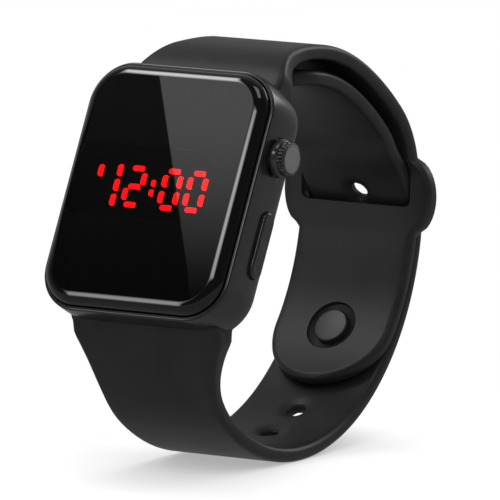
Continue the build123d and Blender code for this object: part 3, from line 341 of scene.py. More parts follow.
case_paint = grained(
    "case_paint", (0.005, 0.005, 0.0054), (0.008, 0.008, 0.0085), 260.0, 0.2, 0.02,
    spread=0.04, Specular_IOR_Level=0.45,
)
button_paint = grained(
    "button_paint", (0.006, 0.006, 0.006), (0.01, 0.01, 0.01), 400.0, 0.25, 0.02,
    spread=0.05, Specular_IOR_Level=0.5,
)
crown_paint = grained(
    "crown_paint", (0.012, 0.012, 0.012), (0.024, 0.024, 0.0245), 700.0, 0.2, 0.05,
    spread=0.05, Specular_IOR_Level=0.7, Metallic=0.25,
)
crown_face_paint = grained(
    "crown_face_paint", (0.07, 0.07, 0.07), (0.1, 0.1, 0.102), 2500.0, 0.55, 0.3,
    Specular_IOR_Level=0.3,
)
silicone = grained(
    "strap_silicone", (0.007, 0.007, 0.0075), (0.0105, 0.0105, 0.011), 180.0, 0.42, 0.05,
    spread=0.05, Specular_IOR_Level=0.28,
)
stud_paint = grained(
    "stud_paint", (0.006, 0.006, 0.0065), (0.0095, 0.0095, 0.01), 300.0, 0.36, 0.05,
    spread=0.05, Specular_IOR_Level=0.32,
)
# Tinted clear glass that doesn't bend light; only its front mirrors, by a coat
tints = ((0.34, 0.34, 0.34), (0.36, 0.36, 0.36), 60.0, 0.006, 0.0)
clear = {"spread": 0.004, "Transmission_Weight": 1.0, "IOR": 1.0}
glass = grained(
    "display_glass", *tints, **clear, Coat_Weight=1.0, Coat_IOR=1.5, Coat_Roughness=0.006
)
glass_back = grained("display_glass_back", *tints, **clear)
glass_print = grained(
    "printed_glass", (0.0006, 0.0006, 0.0006), (0.001, 0.001, 0.001), 60.0, 0.006, 0.0,
    spread=0.004, IOR=1.5,
)
mask_film = grained(
    "mask_film", (0.0005, 0.0005, 0.0005), (0.001, 0.001, 0.001), 300.0, 0.6, 0.0,
    Specular_IOR_Level=0.02,
)
reflector_black = grained(
    "reflector_black", (0.0005, 0.0005, 0.0005), (0.001, 0.0008, 0.0008), 500.0, 0.6, 0.0,
    Specular_IOR_Level=0.02,
)
segment_dark = grained(
    "segment_dark", (0.001, 0.0004, 0.0004), (0.002, 0.0006, 0.0006), 800.0, 0.6, 0.0,
    Specular_IOR_Level=0.02,
)
segment_red = glowing("segment_lit", (0.95, 0.001, 0.002), 6.6)
rubber = grained("seal_rubber", (0.01, 0.01, 0.01), (0.02, 0.02, 0.02), 600.0, 0.6, 0.2)
steel = brushed("bright_steel", (0.5, 0.5, 0.5), (0.66, 0.66, 0.66), (30, 1, 1), 0.28)
back_steel = brushed("back_steel", (0.3, 0.3, 0.305), (0.4, 0.4, 0.405), (1, 12, 12), 0.34)
brass = brushed("contact_brass", (0.6, 0.42, 0.16), (0.78, 0.58, 0.24), (1, 1, 20), 0.3)
board_green = grained("board_laminate", (0.01, 0.1, 0.03), (0.02, 0.16, 0.05), 500.0, 0.4, 0.2)
chip_black = grained("chip_epoxy", (0.015, 0.015, 0.015), (0.03, 0.03, 0.03), 1500.0, 0.55, 0.4)
frame_white = grained("frame_plastic", (0.6, 0.6, 0.57), (0.72, 0.72, 0.68), 300.0, 0.5, 0.2)
amber_film = grained("insulator_film", (0.6, 0.4, 0.12), (0.72, 0.5, 0.18), 200.0, 0.3, 0.1)
washer_white = grained("washer_plastic", (0.7, 0.7, 0.68), (0.8, 0.8, 0.78), 500.0, 0.4, 0.1)
led_white = grained("led_chip", (0.7, 0.7, 0.6), (0.85, 0.85, 0.75), 900.0, 0.3, 0.1)


# Meshes: steps round the case's corners and a slot's ends, and sides of round shapes
CORNER_STEPS = 20
SLOT_STEPS = 16
POINT_GAP = 0.001 * MM
SCREW_SIDES = 20
BAR_SIDES = 24
WELL_SIDES = 32
TUBE_SIDES = 40
ROOT_SIDES = 48
RECESS_SIDES = 64
WIDE_SIDES = 72
DISC_SIDES = 96


def placed(name, data):
    """New object in the scene."""
    item = bpy.data.objects.new(name, data)
    bpy.context.scene.collection.objects.link(item)
    return item


def closed_mesh(name, points, faces):
    """Mesh whose faces all look outwards."""
    mesh = bpy.data.meshes.new(name)
    mesh.from_pydata([tuple(point) for point in points], [], faces)
    work = bmesh.new()
    work.from_mesh(mesh)
    bmesh.ops.recalc_face_normals(work, faces=work.faces)
    work.to_mesh(mesh)
    work.free()
    return mesh


def shade_to(mesh, angle):
    """Smooth shading where faces meet at less than an angle in degrees."""
    mesh.shade_smooth()
    mesh.set_sharp_from_angle(angle=radians(angle))


def finish_piece(name, mesh, material, body, node, smooth_angle=35.0):
    """Piece of a body from a mesh, with its material, shading and the node it replaces."""
    mesh.materials.append(material)
    shade_to(mesh, smooth_angle)
    piece = placed(name, mesh)
    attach(piece, body)
    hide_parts(node)
    return piece


def apply_modifiers(piece):
    """Put the result of a piece's modifiers into its mesh."""
    graph = bpy.context.evaluated_depsgraph_get()
    mesh = bpy.data.meshes.new_from_object(piece.evaluated_get(graph))
    piece.modifiers.clear()
    piece.data = mesh


def add_boolean(piece, operation, tool):
    """Exact boolean of a piece with a tool, as a modifier."""
    modifier = piece.modifiers.new("boolean", "BOOLEAN")
    modifier.operation = operation
    modifier.solver = "EXACT"
    modifier.object = tool


def cut(piece, tools):
    """Cut the tools out of a piece and remove them."""
    for tool in tools:
        add_boolean(piece, "DIFFERENCE", tool)
    apply_modifiers(piece)
    for tool in tools:
        bpy.data.objects.remove(tool)


def weigh_normals(piece, smooth_angle):
    """Let the large flat faces keep their shading where they meet rounded edges."""
    shade_to(piece.data, smooth_angle)
    modifier = piece.modifiers.new("normals", "WEIGHTED_NORMAL")
    modifier.keep_sharp = True
    modifier.weight = 100
    apply_modifiers(piece)


def rounded_outline(width, length, radius, corner_steps, inset=0.0):
    """Points of a rounded rectangle about the origin, counter-clockwise, in by an inset."""
    width, length, radius = width - 2 * inset, length - 2 * inset, radius - inset
    points = []
    for quarter in range(4):
        middle_x = (width / 2 - radius) * (1 if quarter in (0, 3) else -1)
        middle_y = (length / 2 - radius) * (1 if quarter in (0, 1) else -1)
        for step in range(corner_steps + 1):
            angle = pi / 2 * (quarter + step / corner_steps)
            points.append((middle_x + radius * cos(angle), middle_y + radius * sin(angle)))
    return points


def round_outline(radius, sides):
    """Points of a circle about the origin."""
    turns = [2 * pi * k / sides for k in range(sides)]
    return [(radius * cos(turn), radius * sin(turn)) for turn in turns]


def tube_faces(rings, around):
    """Quads between rings of points, and one face over each end."""
    faces = []
    for ring in range(rings - 1):
        for k in range(around):
            near = ring * around + k
            beside = ring * around + (k + 1) % around
            faces.append((near, beside, beside + around, near + around))
    faces.append(tuple(reversed(range(around))))
    faces.append(tuple(range((rings - 1) * around, rings * around)))
    return faces


def stacked(name, rows, place):
    """Closed mesh through (outline, level) rows; place gives the position of a point."""
    points = [place(x, y, level) for outline, level in rows for x, y in outline]
    return closed_mesh(name, points, tube_faces(len(rows), len(rows[0][0])))


def round_rows(radius, sides, *reaches):
    """Rows of one circle, (outline, reach)."""
    return [(round_outline(radius, sides), reach) for reach in reaches]


def edge_round(radius, steps):
    """(inset, drop) of the points over a rounded edge, from its side to its top."""
    turns = [pi / 2 * k / steps for k in range(steps + 1)]
    return [(radius * (1 - cos(turn)), radius * (1 - sin(turn))) for turn in turns]


def dial_prism(name, outline, low, high, shift=(0, 0)):
    """Cutter that stands on the dial's plane, its outline shifted across and along."""
    moved = [(x + shift[0], y + shift[1]) for x, y in outline]
    return placed(name, stacked(name, [(moved, low), (moved, high)], case_point))


def side_place(along, height):
    """Place of a point beside an axis along X: along the dial, towards the glass, and reach."""
    return lambda x, y, reach: case_point(reach, along + x, height + y)


def side_cutter(name, along, height, rows):
    """Cutter about an axis along X, from (outline, reach) rows."""
    return placed(name, stacked(name, rows, side_place(along, height)))


# Glass with a finely rounded edge; only the part over the display is clear, with a pocket under it
glass_top = GLASS_BOTTOM + GLASS_THICKNESS
clear_part = [
    (x + WINDOW_X, y + MIDDLE_ROW)
    for x, y in rounded_outline(CLEAR_WIDTH, CLEAR_LENGTH, WINDOW_RADIUS, CORNER_STEPS)
]
glass_rows = [(clear_part, PLATE_BOTTOM), (clear_part, GLASS_BOTTOM)]
for inset, drop in [(0.0, GLASS_THICKNESS)] + edge_round(GLASS_EDGE_ROUND, steps=14):
    outline = rounded_outline(GLASS_WIDTH, GLASS_LENGTH, GLASS_CORNER_RADIUS, CORNER_STEPS, inset)
    glass_rows.append((outline, glass_top - drop))
glass_rows.append((clear_part, glass_top))
dial_glass = finish_piece(
    "dial_glass", stacked("dial_glass", glass_rows, case_point), glass_print, "watch", "lens",
    smooth_angle=40.0,
)
dial_glass.data.materials.append(glass)
dial_glass.data.materials.append(glass_back)
for face in dial_glass.data.polygons:
    # The two faces with many corners are the clear part's front and back
    if len(face.vertices) > 4:
        face.material_index = 1 if face.normal.dot(DIAL_OUT) > 0 else 2
weigh_normals(dial_glass, smooth_angle=40.0)

# Case body with rounded edges, then its seats, pockets and bores
case_rows = [(inset * MM, height * MM) for inset, height in CASE_WALL]
case_rows += [
    (RIM_LEAN + inset, RIM_HEIGHT - drop) for inset, drop in edge_round(RIM_ROUND, steps=5)
]
case_mesh = stacked("case_body", [
    (rounded_outline(CASE_WIDTH, CASE_LENGTH, CASE_CORNER_RADIUS, CORNER_STEPS, inset), level)
    for inset, level in case_rows
], case_point)
case_body = finish_piece("case_body", case_mesh, case_paint, "watch", "mid_case")


def cut_corner_outline(width, length, cut_length):
    """Points of a rectangle with its corners cut off."""
    x, y = width / 2, length / 2
    return [
        (x, cut_length - y), (x, y - cut_length), (x - cut_length, y), (cut_length - x, y),
        (-x, y - cut_length), (-x, cut_length - y), (cut_length - x, -y), (x - cut_length, -y),
    ]


SEAT_WIDTH = CASE_WIDTH - 2 * RIM_WIDTH
SEAT_LENGTH = CASE_LENGTH - 2 * RIM_WIDTH
SEAT_RADIUS = CASE_CORNER_RADIUS - RIM_WIDTH
# The bevel of a mouth widens its cutter by twice this on each side, over twice this in height
seat_rows = [
    (rounded_outline(SEAT_WIDTH, SEAT_LENGTH, SEAT_RADIUS, CORNER_STEPS, -wider), level)
    for wider, level in (
        (0.0, SEAT_HEIGHT), (0.0, RIM_HEIGHT - MOUTH_BEVEL),
        (2 * MOUTH_BEVEL, RIM_HEIGHT + MOUTH_BEVEL),
    )
]
tools = [
    placed("seat", stacked("seat", seat_rows, case_point)),
    dial_prism(
        "window", rounded_outline(WINDOW_WIDTH, WINDOW_LENGTH, WINDOW_RADIUS, 4),
        DECK_BOTTOM - OVERRUN, SEAT_HEIGHT + OVERRUN, (WINDOW_X, MIDDLE_ROW),
    ),
    dial_prism(
        "cavity", cut_corner_outline(CAVITY_WIDTH, CAVITY_LENGTH, CAVITY_CORNER_CUT),
        -OVERRUN, DECK_BOTTOM,
    ),
    dial_prism(
        "back_seat", rounded_outline(BACK_SEAT_WIDTH, BACK_SEAT_LENGTH, BACK_SEAT_RADIUS, 12),
        -OVERRUN, BACK_SEAT_HEIGHT,
    ),
]
pocket_length = CASE_LENGTH / 2 - POCKET_INNER + OVERRUN
for side in (1, -1):
    tools.append(dial_prism(
        "pocket", rounded_outline(POCKET_WIDTH, pocket_length, POCKET_CORNER_RADIUS, 4),
        -OVERRUN, POCKET_TOP, (0, side * (POCKET_INNER + pocket_length / 2)),
    ))
    tools.append(side_cutter(
        "bar_hole", side * BAR_ALONG, BAR_HEIGHT,
        round_rows(BAR_HOLE_RADIUS, BAR_SIDES, -BAR_HOLE_END, BAR_HOLE_END),
    ))
    for turned in (1, -1):
        tools.append(dial_prism(
            "screw_hole", round_outline(SCREW_HOLE_RADIUS, SCREW_SIDES),
            BACK_SEAT_HEIGHT - OVERRUN, BACK_SEAT_HEIGHT + SCREW_LENGTH,
            (side * BACK_SCREW_X, turned * BACK_SCREW_ALONG),
        ))
side_face = CASE_WIDTH / 2
tools.append(side_cutter(
    "crown_bore", CROWN_ALONG, CROWN_HEIGHT,
    round_rows(TUBE_RADIUS, TUBE_SIDES, CAVITY_WIDTH / 2 - OVERRUN, side_face),
))
tools.append(side_cutter("crown_recess", CROWN_ALONG, CROWN_HEIGHT, [
    (round_outline(CROWN_RECESS_RADIUS + wider, WIDE_SIDES), side_face + reach)
    for wider, reach in (
        (0.0, -CROWN_RECESS_DEPTH), (0.0, -MOUTH_BEVEL), (2 * MOUTH_BEVEL, MOUTH_BEVEL)
    )
]))


def slot_outline(length, width):
    """Points of a slot with half round ends, long along the dial; no two points are one."""
    return rounded_outline(length, width, width / 2 - POINT_GAP, SLOT_STEPS)


tools.append(side_cutter("button_pocket", BUTTON_ALONG, BUTTON_HEIGHT, [
    (slot_outline(BUTTON_LENGTH + 2 * wider, BUTTON_WIDTH + 2 * wider), reach)
    for wider, reach in (
        (BUTTON_CLEARANCE, BUTTON_POCKET_FLOOR), (BUTTON_CLEARANCE, side_face - MOUTH_BEVEL),
        (BUTTON_CLEARANCE + 2 * MOUTH_BEVEL, side_face + MOUTH_BEVEL),
    )
]))
for radius, floor in (
    (BUTTON_BORE_RADIUS, BUTTON_STEM_START - OVERRUN), (SEAL_WELL_RADIUS, SEAL_WELL_FLOOR),
    (SPRING_WELL_RADIUS, SPRING_WELL_FLOOR),
):
    tools.append(side_cutter(
        "button_well", BUTTON_ALONG, BUTTON_HEIGHT,
        round_rows(radius, WELL_SIDES, floor, side_face - MOUTH_BEVEL),
    ))
cut(case_body, tools)
weigh_normals(case_body, smooth_angle=30.0)

# Side button: cap with a rounded edge and a stem with its clip groove
cap_start = BUTTON_TOP - BUTTON_THICKNESS
cap_rows = [(0.0, cap_start)]
cap_rows += [(inset, BUTTON_TOP - drop) for inset, drop in edge_round(BUTTON_ROUND, steps=8)]
button_mesh = stacked("side_button_cap", [
    (slot_outline(BUTTON_LENGTH - 2 * inset, BUTTON_WIDTH - 2 * inset), reach)
    for inset, reach in cap_rows
], side_place(BUTTON_ALONG, BUTTON_HEIGHT))
button_cap = finish_piece(
    "side_button_cap", button_mesh, button_paint, "side_button", "side_button"
)
stem_mesh = stacked("side_button_stem", [
    (round_outline(radius, WELL_SIDES), reach) for radius, reach in (
        (BUTTON_STEM_RADIUS, BUTTON_STEM_START), (BUTTON_STEM_RADIUS, BUTTON_GROOVE_START),
        (BUTTON_GROOVE_RADIUS, BUTTON_GROOVE_START), (BUTTON_GROOVE_RADIUS, BUTTON_GROOVE_END),
        (BUTTON_STEM_RADIUS, BUTTON_GROOVE_END), (BUTTON_STEM_RADIUS, cap_start),
    )
], side_place(BUTTON_ALONG, BUTTON_HEIGHT))
finish_piece(
    "side_button_stem", stem_mesh, button_paint, "side_button", "side_button"
)
weigh_normals(button_cap, smooth_angle=35.0)

# Crown: toothed knob turned about its axis, and its flat face
TOOTH_SHAPE = (0.0, 0.1, 0.55, 0.95, 1.0, 0.95, 0.55, 0.1)


def toothed_outline(radius, share):
    """Circle with the crown's teeth on it, at a share of their depth."""
    count = CROWN_TEETH * len(TOOTH_SHAPE)
    points = []
    for k in range(count):
        reach = radius + CROWN_TOOTH_DEPTH * share * TOOTH_SHAPE[k % len(TOOTH_SHAPE)]
        points.append((reach * cos(2 * pi * k / count), reach * sin(2 * pi * k / count)))
    return points


# (reach from the case side, radius between the teeth, share of the tooth depth), in millimetres
CROWN_ROWS = (
    (1.9, 0.6, 0.0), (1.3, 0.6, 0.0), (1.3, 2.1, 0.0), (0.25, 2.1, 0.0), (0.25, 2.9, 0.0),
    (0.27, 3.0, 0.0), (0.33, 3.08, 0.0), (0.45, 3.13, 0.0), (0.65, 3.14, 0.0), (0.9, 3.12, 0.0),
    (1.12, 3.06, 0.0), (1.3, 2.98, 0.0), (1.44, 2.87, 0.0), (1.52, 2.77, 0.0), (1.55, 2.66, 0.0),
    (1.57, 2.54, 1.0), (1.9, 2.54, 1.1), (2.2, 2.51, 1.1), (2.4, 2.46, 1.05), (2.52, 2.41, 0.85),
    (2.6, 2.35, 0.5), (2.66, 2.29, 0.15), (2.69, 2.25, 0.0), (2.69, 2.22, 0.0), (2.64, 2.2, 0.0),
)
CROWN_DISC_ROWS = ((2.6, 2.19), (2.655, 2.19), (2.665, 2.17), (2.672, 1.0), (2.674, 0.02))
knob_mesh = stacked("crown_knob_toothed", [
    (toothed_outline(radius * MM, share), side_face + reach * MM)
    for reach, radius, share in CROWN_ROWS
], side_place(CROWN_ALONG, CROWN_HEIGHT))
finish_piece(
    "crown_knob_toothed", knob_mesh, crown_paint, "crown", "crown_knob",
    smooth_angle=42.0,
)
disc_mesh = stacked("crown_face", [
    (round_outline(radius * MM, DISC_SIDES), side_face + reach * MM)
    for reach, radius in CROWN_DISC_ROWS
], side_place(CROWN_ALONG, CROWN_HEIGHT))
finish_piece(
    "crown_face", disc_mesh, crown_face_paint, "crown", "crown_knob",
    smooth_angle=30.0,
)


# Light pills, rounded at their ends and along their tops
def digit_pills(x, missing):
    """Seven pills of one digit as (x, along, upright, lit); missing names the dark ones."""
    pills = {
        "top": (x, DIGIT_RISE, False),
        "upper_left": (x - DIGIT_WIDTH / 2, UPRIGHT_RISE, True),
        "upper_right": (x + DIGIT_WIDTH / 2, UPRIGHT_RISE, True),
        "middle": (x, 0.0, False),
        "lower_left": (x - DIGIT_WIDTH / 2, -UPRIGHT_RISE, True),
        "lower_right": (x + DIGIT_WIDTH / 2, -UPRIGHT_RISE, True),
        "bottom": (x, -DIGIT_RISE, False),
    }
    return [(px, py, upright, name not in missing) for name, (px, py, upright) in pills.items()]


pills = digit_pills(TWO_X, ("upper_left", "lower_right"))
pills += digit_pills(ZERO_X, ("middle",))
pills += digit_pills(ZERO_X + DIGIT_PITCH, ("middle",))
pills += [(ONE_X, k * ONE_PITCH, True, True) for k in (-1, 0, 1)]
pills += [(MARK_X, MARK_RISE, True, True)]
for lit, name, material, node, slot in (
    (True, "lit_pills", segment_red, "lit_segments", "segment_lit"),
    (False, "dark_pills", segment_dark, "unlit_segments", "segment_dark"),
):
    sizes = [
        (x, along, (UPRIGHT_WIDTH, UPRIGHT_LENGTH) if upright else (LEVEL_LENGTH, LEVEL_WIDTH))
        for x, along, upright, is_lit in pills if is_lit == lit
    ]
    if lit:
        sizes += [(COLON_X, k * DOT_RISE, (LEVEL_WIDTH, DOT_LENGTH)) for k in (-1, 1)]
    points, faces = [], []
    for x, along, (cup_width, cup_length) in sizes:
        start = len(points)
        width, length = cup_width - PILL_SLIMMER, cup_length - PILL_SLIMMER
        radius = min(width, length) / 2 * PILL_ROUNDNESS
        for inset, level in PILL_ROWS:
            outline = rounded_outline(width, length, radius, PILL_STEPS, inset)
            points += [case_point(x + px, MIDDLE_ROW + along + py, level) for px, py in outline]
        quads = tube_faces(len(PILL_ROWS), len(outline))
        faces += [tuple(start + k for k in face) for face in quads]
    mesh = closed_mesh(name, points, faces)
    finish_piece(name, mesh, material, "watch", node, smooth_angle=40.0)

# Materials of the solids that show as they are
for material, names in (
    (rubber, "lens_gasket back_gasket crown_gasket button_gasket"),
    (mask_film, "display_mask"), (reflector_black, "display_reflector"), (led_white, "led_chips"),
    (board_green, "circuit_board"), (chip_black, "controller_chip crown_switch button_switch"),
    (frame_white, "module_frame"), (brass, "battery_contact_positive battery_contact_negative"),
    (amber_film, "insulator_sheet"), (back_steel, "case_back"), (washer_white, "crown_washer"),
    (steel, "quartz_crystal module_screws coin_cell case_back_screws crown_tube crown_stem"),
    (steel, "crown_clip crown_spring button_clip button_spring bar_tube_upper bar_tube_lower"),
    (steel, "bar_tip_upper_left bar_tip_upper_right bar_tip_lower_left bar_tip_lower_right"),
    (steel, "bar_spring_upper bar_spring_lower"),
):
    for node in names.split():
        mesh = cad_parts[node].data
        mesh.materials.clear()
        mesh.materials.append(material)


# Strap loop, as in the CAD model
first_place = case_point(0, BAR_ALONG, BAR_HEIGHT)
last_place = case_point(0, -BAR_ALONG, BAR_HEIGHT)


def run_chord(length, heading, turn):
    """Shift from the start to the end of one arc."""
    shrink = sin(radians(turn / 2)) / radians(turn / 2)
    middle = radians(heading + turn / 2)
    return Vector((0, cos(middle), sin(middle))) * (length * shrink)


def closed_runs():
    """(length, start heading, turn) of each run, with two lengths set so that the loop closes."""
    headings = [90 - CASE_LEAN + LOOP_EXIT_ANGLE]
    for turn in RUN_TURNS[:-1]:
        headings.append(headings[-1] + turn)
    lengths = [share * LOOP_LENGTH for share in RUN_LENGTH_SHARES]
    rest = last_place - first_place
    for k, turn in enumerate(RUN_TURNS):
        if k not in CLOSING_RUNS:
            rest -= run_chord(lengths[k], headings[k], turn)
    first, second = (run_chord(1, headings[k], RUN_TURNS[k]) for k in CLOSING_RUNS)
    area = first.y * second.z - first.z * second.y
    lengths[CLOSING_RUNS[0]] = (rest.y * second.z - rest.z * second.y) / area
    lengths[CLOSING_RUNS[1]] = (first.y * rest.z - first.z * rest.y) / area
    return list(zip(lengths, headings, RUN_TURNS))


loop_runs = closed_runs()
loop_end = sum(run[0] for run in loop_runs)


def loop_place(station):
    """Point of the loop at a station, and its outward direction there."""
    point = first_place
    left = station
    for length, heading, turn in loop_runs:
        if left <= length or (length, heading, turn) == loop_runs[-1]:
            share = left / length
            if share != 0:
                point = point + run_chord(left, heading, turn * share)
            direction = radians(heading + turn * share)
            return point, Vector((0, -sin(direction), cos(direction)))
        point = point + run_chord(length, heading, turn)
        left -= length


def smooth_step(share):
    """Zero to one with soft ends."""
    share = min(max(share, 0), 1)
    return share * share * (3 - 2 * share)


UPPER_OVER = STRAP_THICKNESS + STRAP_GAP
TAIL_UNDER = STRAP_THICKNESS + TAIL_GAP
TRACK_NUDGE = 0.01 * MM


def upper_offset(station):
    """The upper strap lies on the loop line."""
    return 0.0


def lower_offset(station):
    """How far the lower strap lies outside the loop line; negative is inside it."""
    if station >= UPPER_LENGTH:
        return UPPER_OVER * smooth_step((loop_end - station) / (loop_end - UPPER_LENGTH))
    rise = smooth_step((station - CROSSING_START) / (CROSSING_END - CROSSING_START))
    return (UPPER_OVER + TAIL_UNDER) * rise - TAIL_UNDER


def track_frame(station, offset_law):
    """Middle of a strap at a station, with its directions along the loop and outwards."""
    ends = []
    for place in (station - TRACK_NUDGE, station, station + TRACK_NUDGE):
        point, outward = loop_place(place)
        ends.append(point + outward * offset_law(place))
    forward = (ends[2] - ends[0]).normalized()
    return ends[1], forward, ACROSS.cross(forward)


def root_thickness(reach):
    """Thickness of a strap at a reach from its spring bar."""
    share = min(reach / THINNING_LENGTH, 1)
    return STRAP_THICKNESS + (ROOT_THICKNESS - STRAP_THICKNESS) * (1 - share) ** 2


def root_width(reach):
    """Width of a strap at a reach from its spring bar, flared at the case."""
    share = min(max((reach - FLARE_START) / FLARE_LENGTH, 0), 1)
    return STRAP_WIDTH + (FLARE_WIDTH - STRAP_WIDTH) * (1 - share) ** 2


def bulge_share(station):
    """How far the keeper bulge has grown at a station."""
    share = (station - BULGE_STATION) / BULGE_HALF_LENGTH
    return max(1 - share * share, 0) ** 0.5


def upper_size(station):
    """Width and thickness of the upper strap, and the way left to its tip."""
    share = bulge_share(station)
    width = root_width(station) + (BULGE_WIDTH - STRAP_WIDTH) * share
    thickness = root_thickness(station) + BULGE_EXTRA * share
    return width, thickness, UPPER_LENGTH - station


def lower_size(station):
    """Width and thickness of the lower strap, and the way left to its tail end."""
    reach = loop_end - station
    flare_end = FLARE_START + FLARE_LENGTH
    share = min(max((reach - flare_end) / (loop_end - CROSSING_END - flare_end), 0), 1)
    width = root_width(reach) + (LOWER_WIDTH - STRAP_WIDTH) * share
    return width, root_thickness(reach), station - TAIL_STATION


def section_points(width, thickness, left):
    """Rounded strap section as (across, outwards), with a way left to the half round tip."""
    radius = min(EDGE_RADIUS, thickness * EDGE_SHARE)
    past = max(width / 2 - left, 0)
    # Near the tip the rounded edge runs round the end too, and the section gets thinner
    last_inset = min(radius, max(width / 2 - past, LEAST_INSET))
    last_turn = acos(1 - last_inset / radius)
    points = []
    for corner, (side_x, side_y) in enumerate(((1, 1), (-1, 1), (-1, -1), (1, -1))):
        for step in range(ROUND_STEPS + 1):
            share = step / ROUND_STEPS
            turn = last_turn * (share if corner in (0, 2) else 1 - share)
            inset = radius * (1 - cos(turn))
            reach = max((width / 2 - inset) ** 2 - past * past, LEAST_REACH ** 2) ** 0.5
            level = thickness / 2 - radius + radius * sin(turn)
            points.append((side_x * reach, side_y * level))
        if corner in (0, 2):
            flat_x, flat_y = points[-1]
            points += [(flat_x * (1 - 2 * step / FLAT_STEPS), flat_y)
                       for step in range(1, FLAT_STEPS)]
    return points


def strap_stations(start, end):
    """Even stations from start to end."""
    count = ceil(abs(end - start) / STATION_STEP)
    return [start + (end - start) * k / count for k in range(count + 1)]


def tip_stations(end, reach):
    """Stations of a half round tip, closer together towards its end; reach is back from there."""
    return [end + reach * (1 - sin(pi / 2 * k / TIP_STEPS)) for k in range(1, TIP_STEPS + 1)]


def strap_mesh(name, stations, size_law, offset_law):
    """Swept strap with a closed surface."""
    points = []
    for station in stations:
        place, forward, outward = track_frame(station, offset_law)
        section = section_points(*size_law(station))
        points += [place + ACROSS * x + outward * y for x, y in section]
    return closed_mesh(name, points, tube_faces(len(stations), len(section)))


def track_place(station, offset_law):
    """Place of a point about a strap's outward direction: across, along the loop, outwards."""
    middle, forward, outward = track_frame(station, offset_law)
    return lambda x, y, height: middle + ACROSS * x + forward * y + outward * height


def turned_mesh(name, station, offset_law, profile, sides=TUBE_SIDES):
    """Closed mesh turned about a strap's outward direction, from (height, radius) points."""
    rows = [(round_outline(radius, sides), height) for height, radius in profile]
    return stacked(name, rows, track_place(station, offset_law))


def turned_cutter(name, *shape):
    """Cutter of the same kind."""
    return placed(name, turned_mesh(name, *shape))


def hole_profile(radius, lip, steps=4):
    """Straight hole whose mouths open in a small round."""
    half = STRAP_THICKNESS / 2 - DIMPLE_DEPTH
    profile = [(-TOOL_REACH, radius + lip), (-half, radius + lip)]
    for k in range(1, steps + 1):
        turn = pi / 2 * k / steps
        profile.append((-half + lip * sin(turn), radius + lip * (1 - sin(turn) ** 0.5)))
    profile += [(-height, ring) for height, ring in reversed(profile)]
    return profile


def dimpled(mesh, stations, offset_law, radius, depth):
    """Press a soft dish round each hole into both faces of a strap."""
    frames = [track_frame(station, offset_law) for station in stations]
    for vertex in mesh.vertices:
        for place, forward, outward in frames:
            shift = vertex.co - place
            height = shift.dot(outward)
            distance = (shift - outward * height).length
            on_face = DIMPLE_FACE * STRAP_THICKNESS < abs(height) <= STRAP_THICKNESS
            if distance < radius and on_face:
                side = 1 if height > 0 else -1
                rise = smooth_step((distance / radius - DIMPLE_FLOOR) / (1 - DIMPLE_FLOOR))
                vertex.co -= outward * (side * depth * (1 - rise))


upper_stations = strap_stations(0, UPPER_LENGTH - STRAP_WIDTH / 2)
upper_stations += tip_stations(UPPER_LENGTH, -STRAP_WIDTH / 2)
upper_mesh = strap_mesh("strap_upper_soft", upper_stations, upper_size, upper_offset)
strap_upper = finish_piece(
    "strap_upper_soft", upper_mesh, silicone, "watch", "strap_upper"
)
lower_stations = strap_stations(loop_end, TAIL_STATION + LOWER_WIDTH / 2)
lower_stations += tip_stations(TAIL_STATION, LOWER_WIDTH / 2)
lower_mesh = strap_mesh("strap_lower_soft", lower_stations, lower_size, lower_offset)
hole_stations = [STUD_STATION + k * HOLE_PITCH for k in range(-3, 4)]
dimpled(lower_mesh, hole_stations, lower_offset, DIMPLE_RADIUS, DIMPLE_DEPTH)
strap_lower = finish_piece(
    "strap_lower_soft", lower_mesh, silicone, "watch", "strap_lower"
)
cut(strap_lower, [
    turned_cutter("hole", station, lower_offset, hole_profile(HOLE_RADIUS, HOLE_LIP))
    for station in hole_stations
])


def slot_tools():
    """Straight slot and the slanted way of the tail through the upper strap."""
    outline = rounded_outline(SLOT_WIDTH, SLOT_END - SLOT_START, SLOT_CORNER_RADIUS, 6)
    straight = stacked(
        "slot", [(outline, -TOOL_REACH), (outline, TOOL_REACH)],
        track_place((SLOT_START + SLOT_END) / 2, upper_offset),
    )
    slanted = strap_mesh(
        "slot_way", strap_stations(CROSSING_START, CROSSING_END),
        lambda station: (SLOT_WIDTH, STRAP_THICKNESS + 2 * SLOT_CLEARANCE, SLOT_WIDTH),
        lower_offset,
    )
    return [placed("slot", straight), placed("slot_way", slanted)]


recess = [
    (height - STRAP_THICKNESS / 2, STUD_RECESS_RADIUS - inset)
    for height, inset in STUD_RECESS_ROWS
]
stud_hole = [(-TOOL_REACH, STUD_HOLE_RADIUS), (TOOL_REACH, STUD_HOLE_RADIUS)]
cut(strap_upper, slot_tools() + [
    turned_cutter("recess", STUD_STATION, upper_offset, recess, RECESS_SIDES),
    turned_cutter("stud_hole", STUD_STATION, upper_offset, stud_hole),
])

# Closure stud: base inside the upper strap, shaft through both straps, head outside
stud_rows = [(STUD_BASE_START + drop, STUD_BASE_RADIUS - inset)
             for inset, drop in reversed(edge_round(STUD_ROUND, steps=6))]
stud_rows += [(STUD_BASE_END, STUD_BASE_RADIUS), (STUD_BASE_END, STUD_SHAFT_RADIUS),
              (STUD_HEAD_START, STUD_SHAFT_RADIUS), (STUD_HEAD_START, STUD_HEAD_RADIUS)]
stud_rows += [(STUD_HEAD_END - drop, STUD_HEAD_RADIUS - inset)
              for inset, drop in edge_round(STUD_ROUND, steps=6)]
stud_mesh = turned_mesh("closure_stud_turned", STUD_STATION, upper_offset, stud_rows, WIDE_SIDES)
finish_piece(
    "closure_stud_turned", stud_mesh, stud_paint, "watch", "closure_stud",
    smooth_angle=50.0,
)

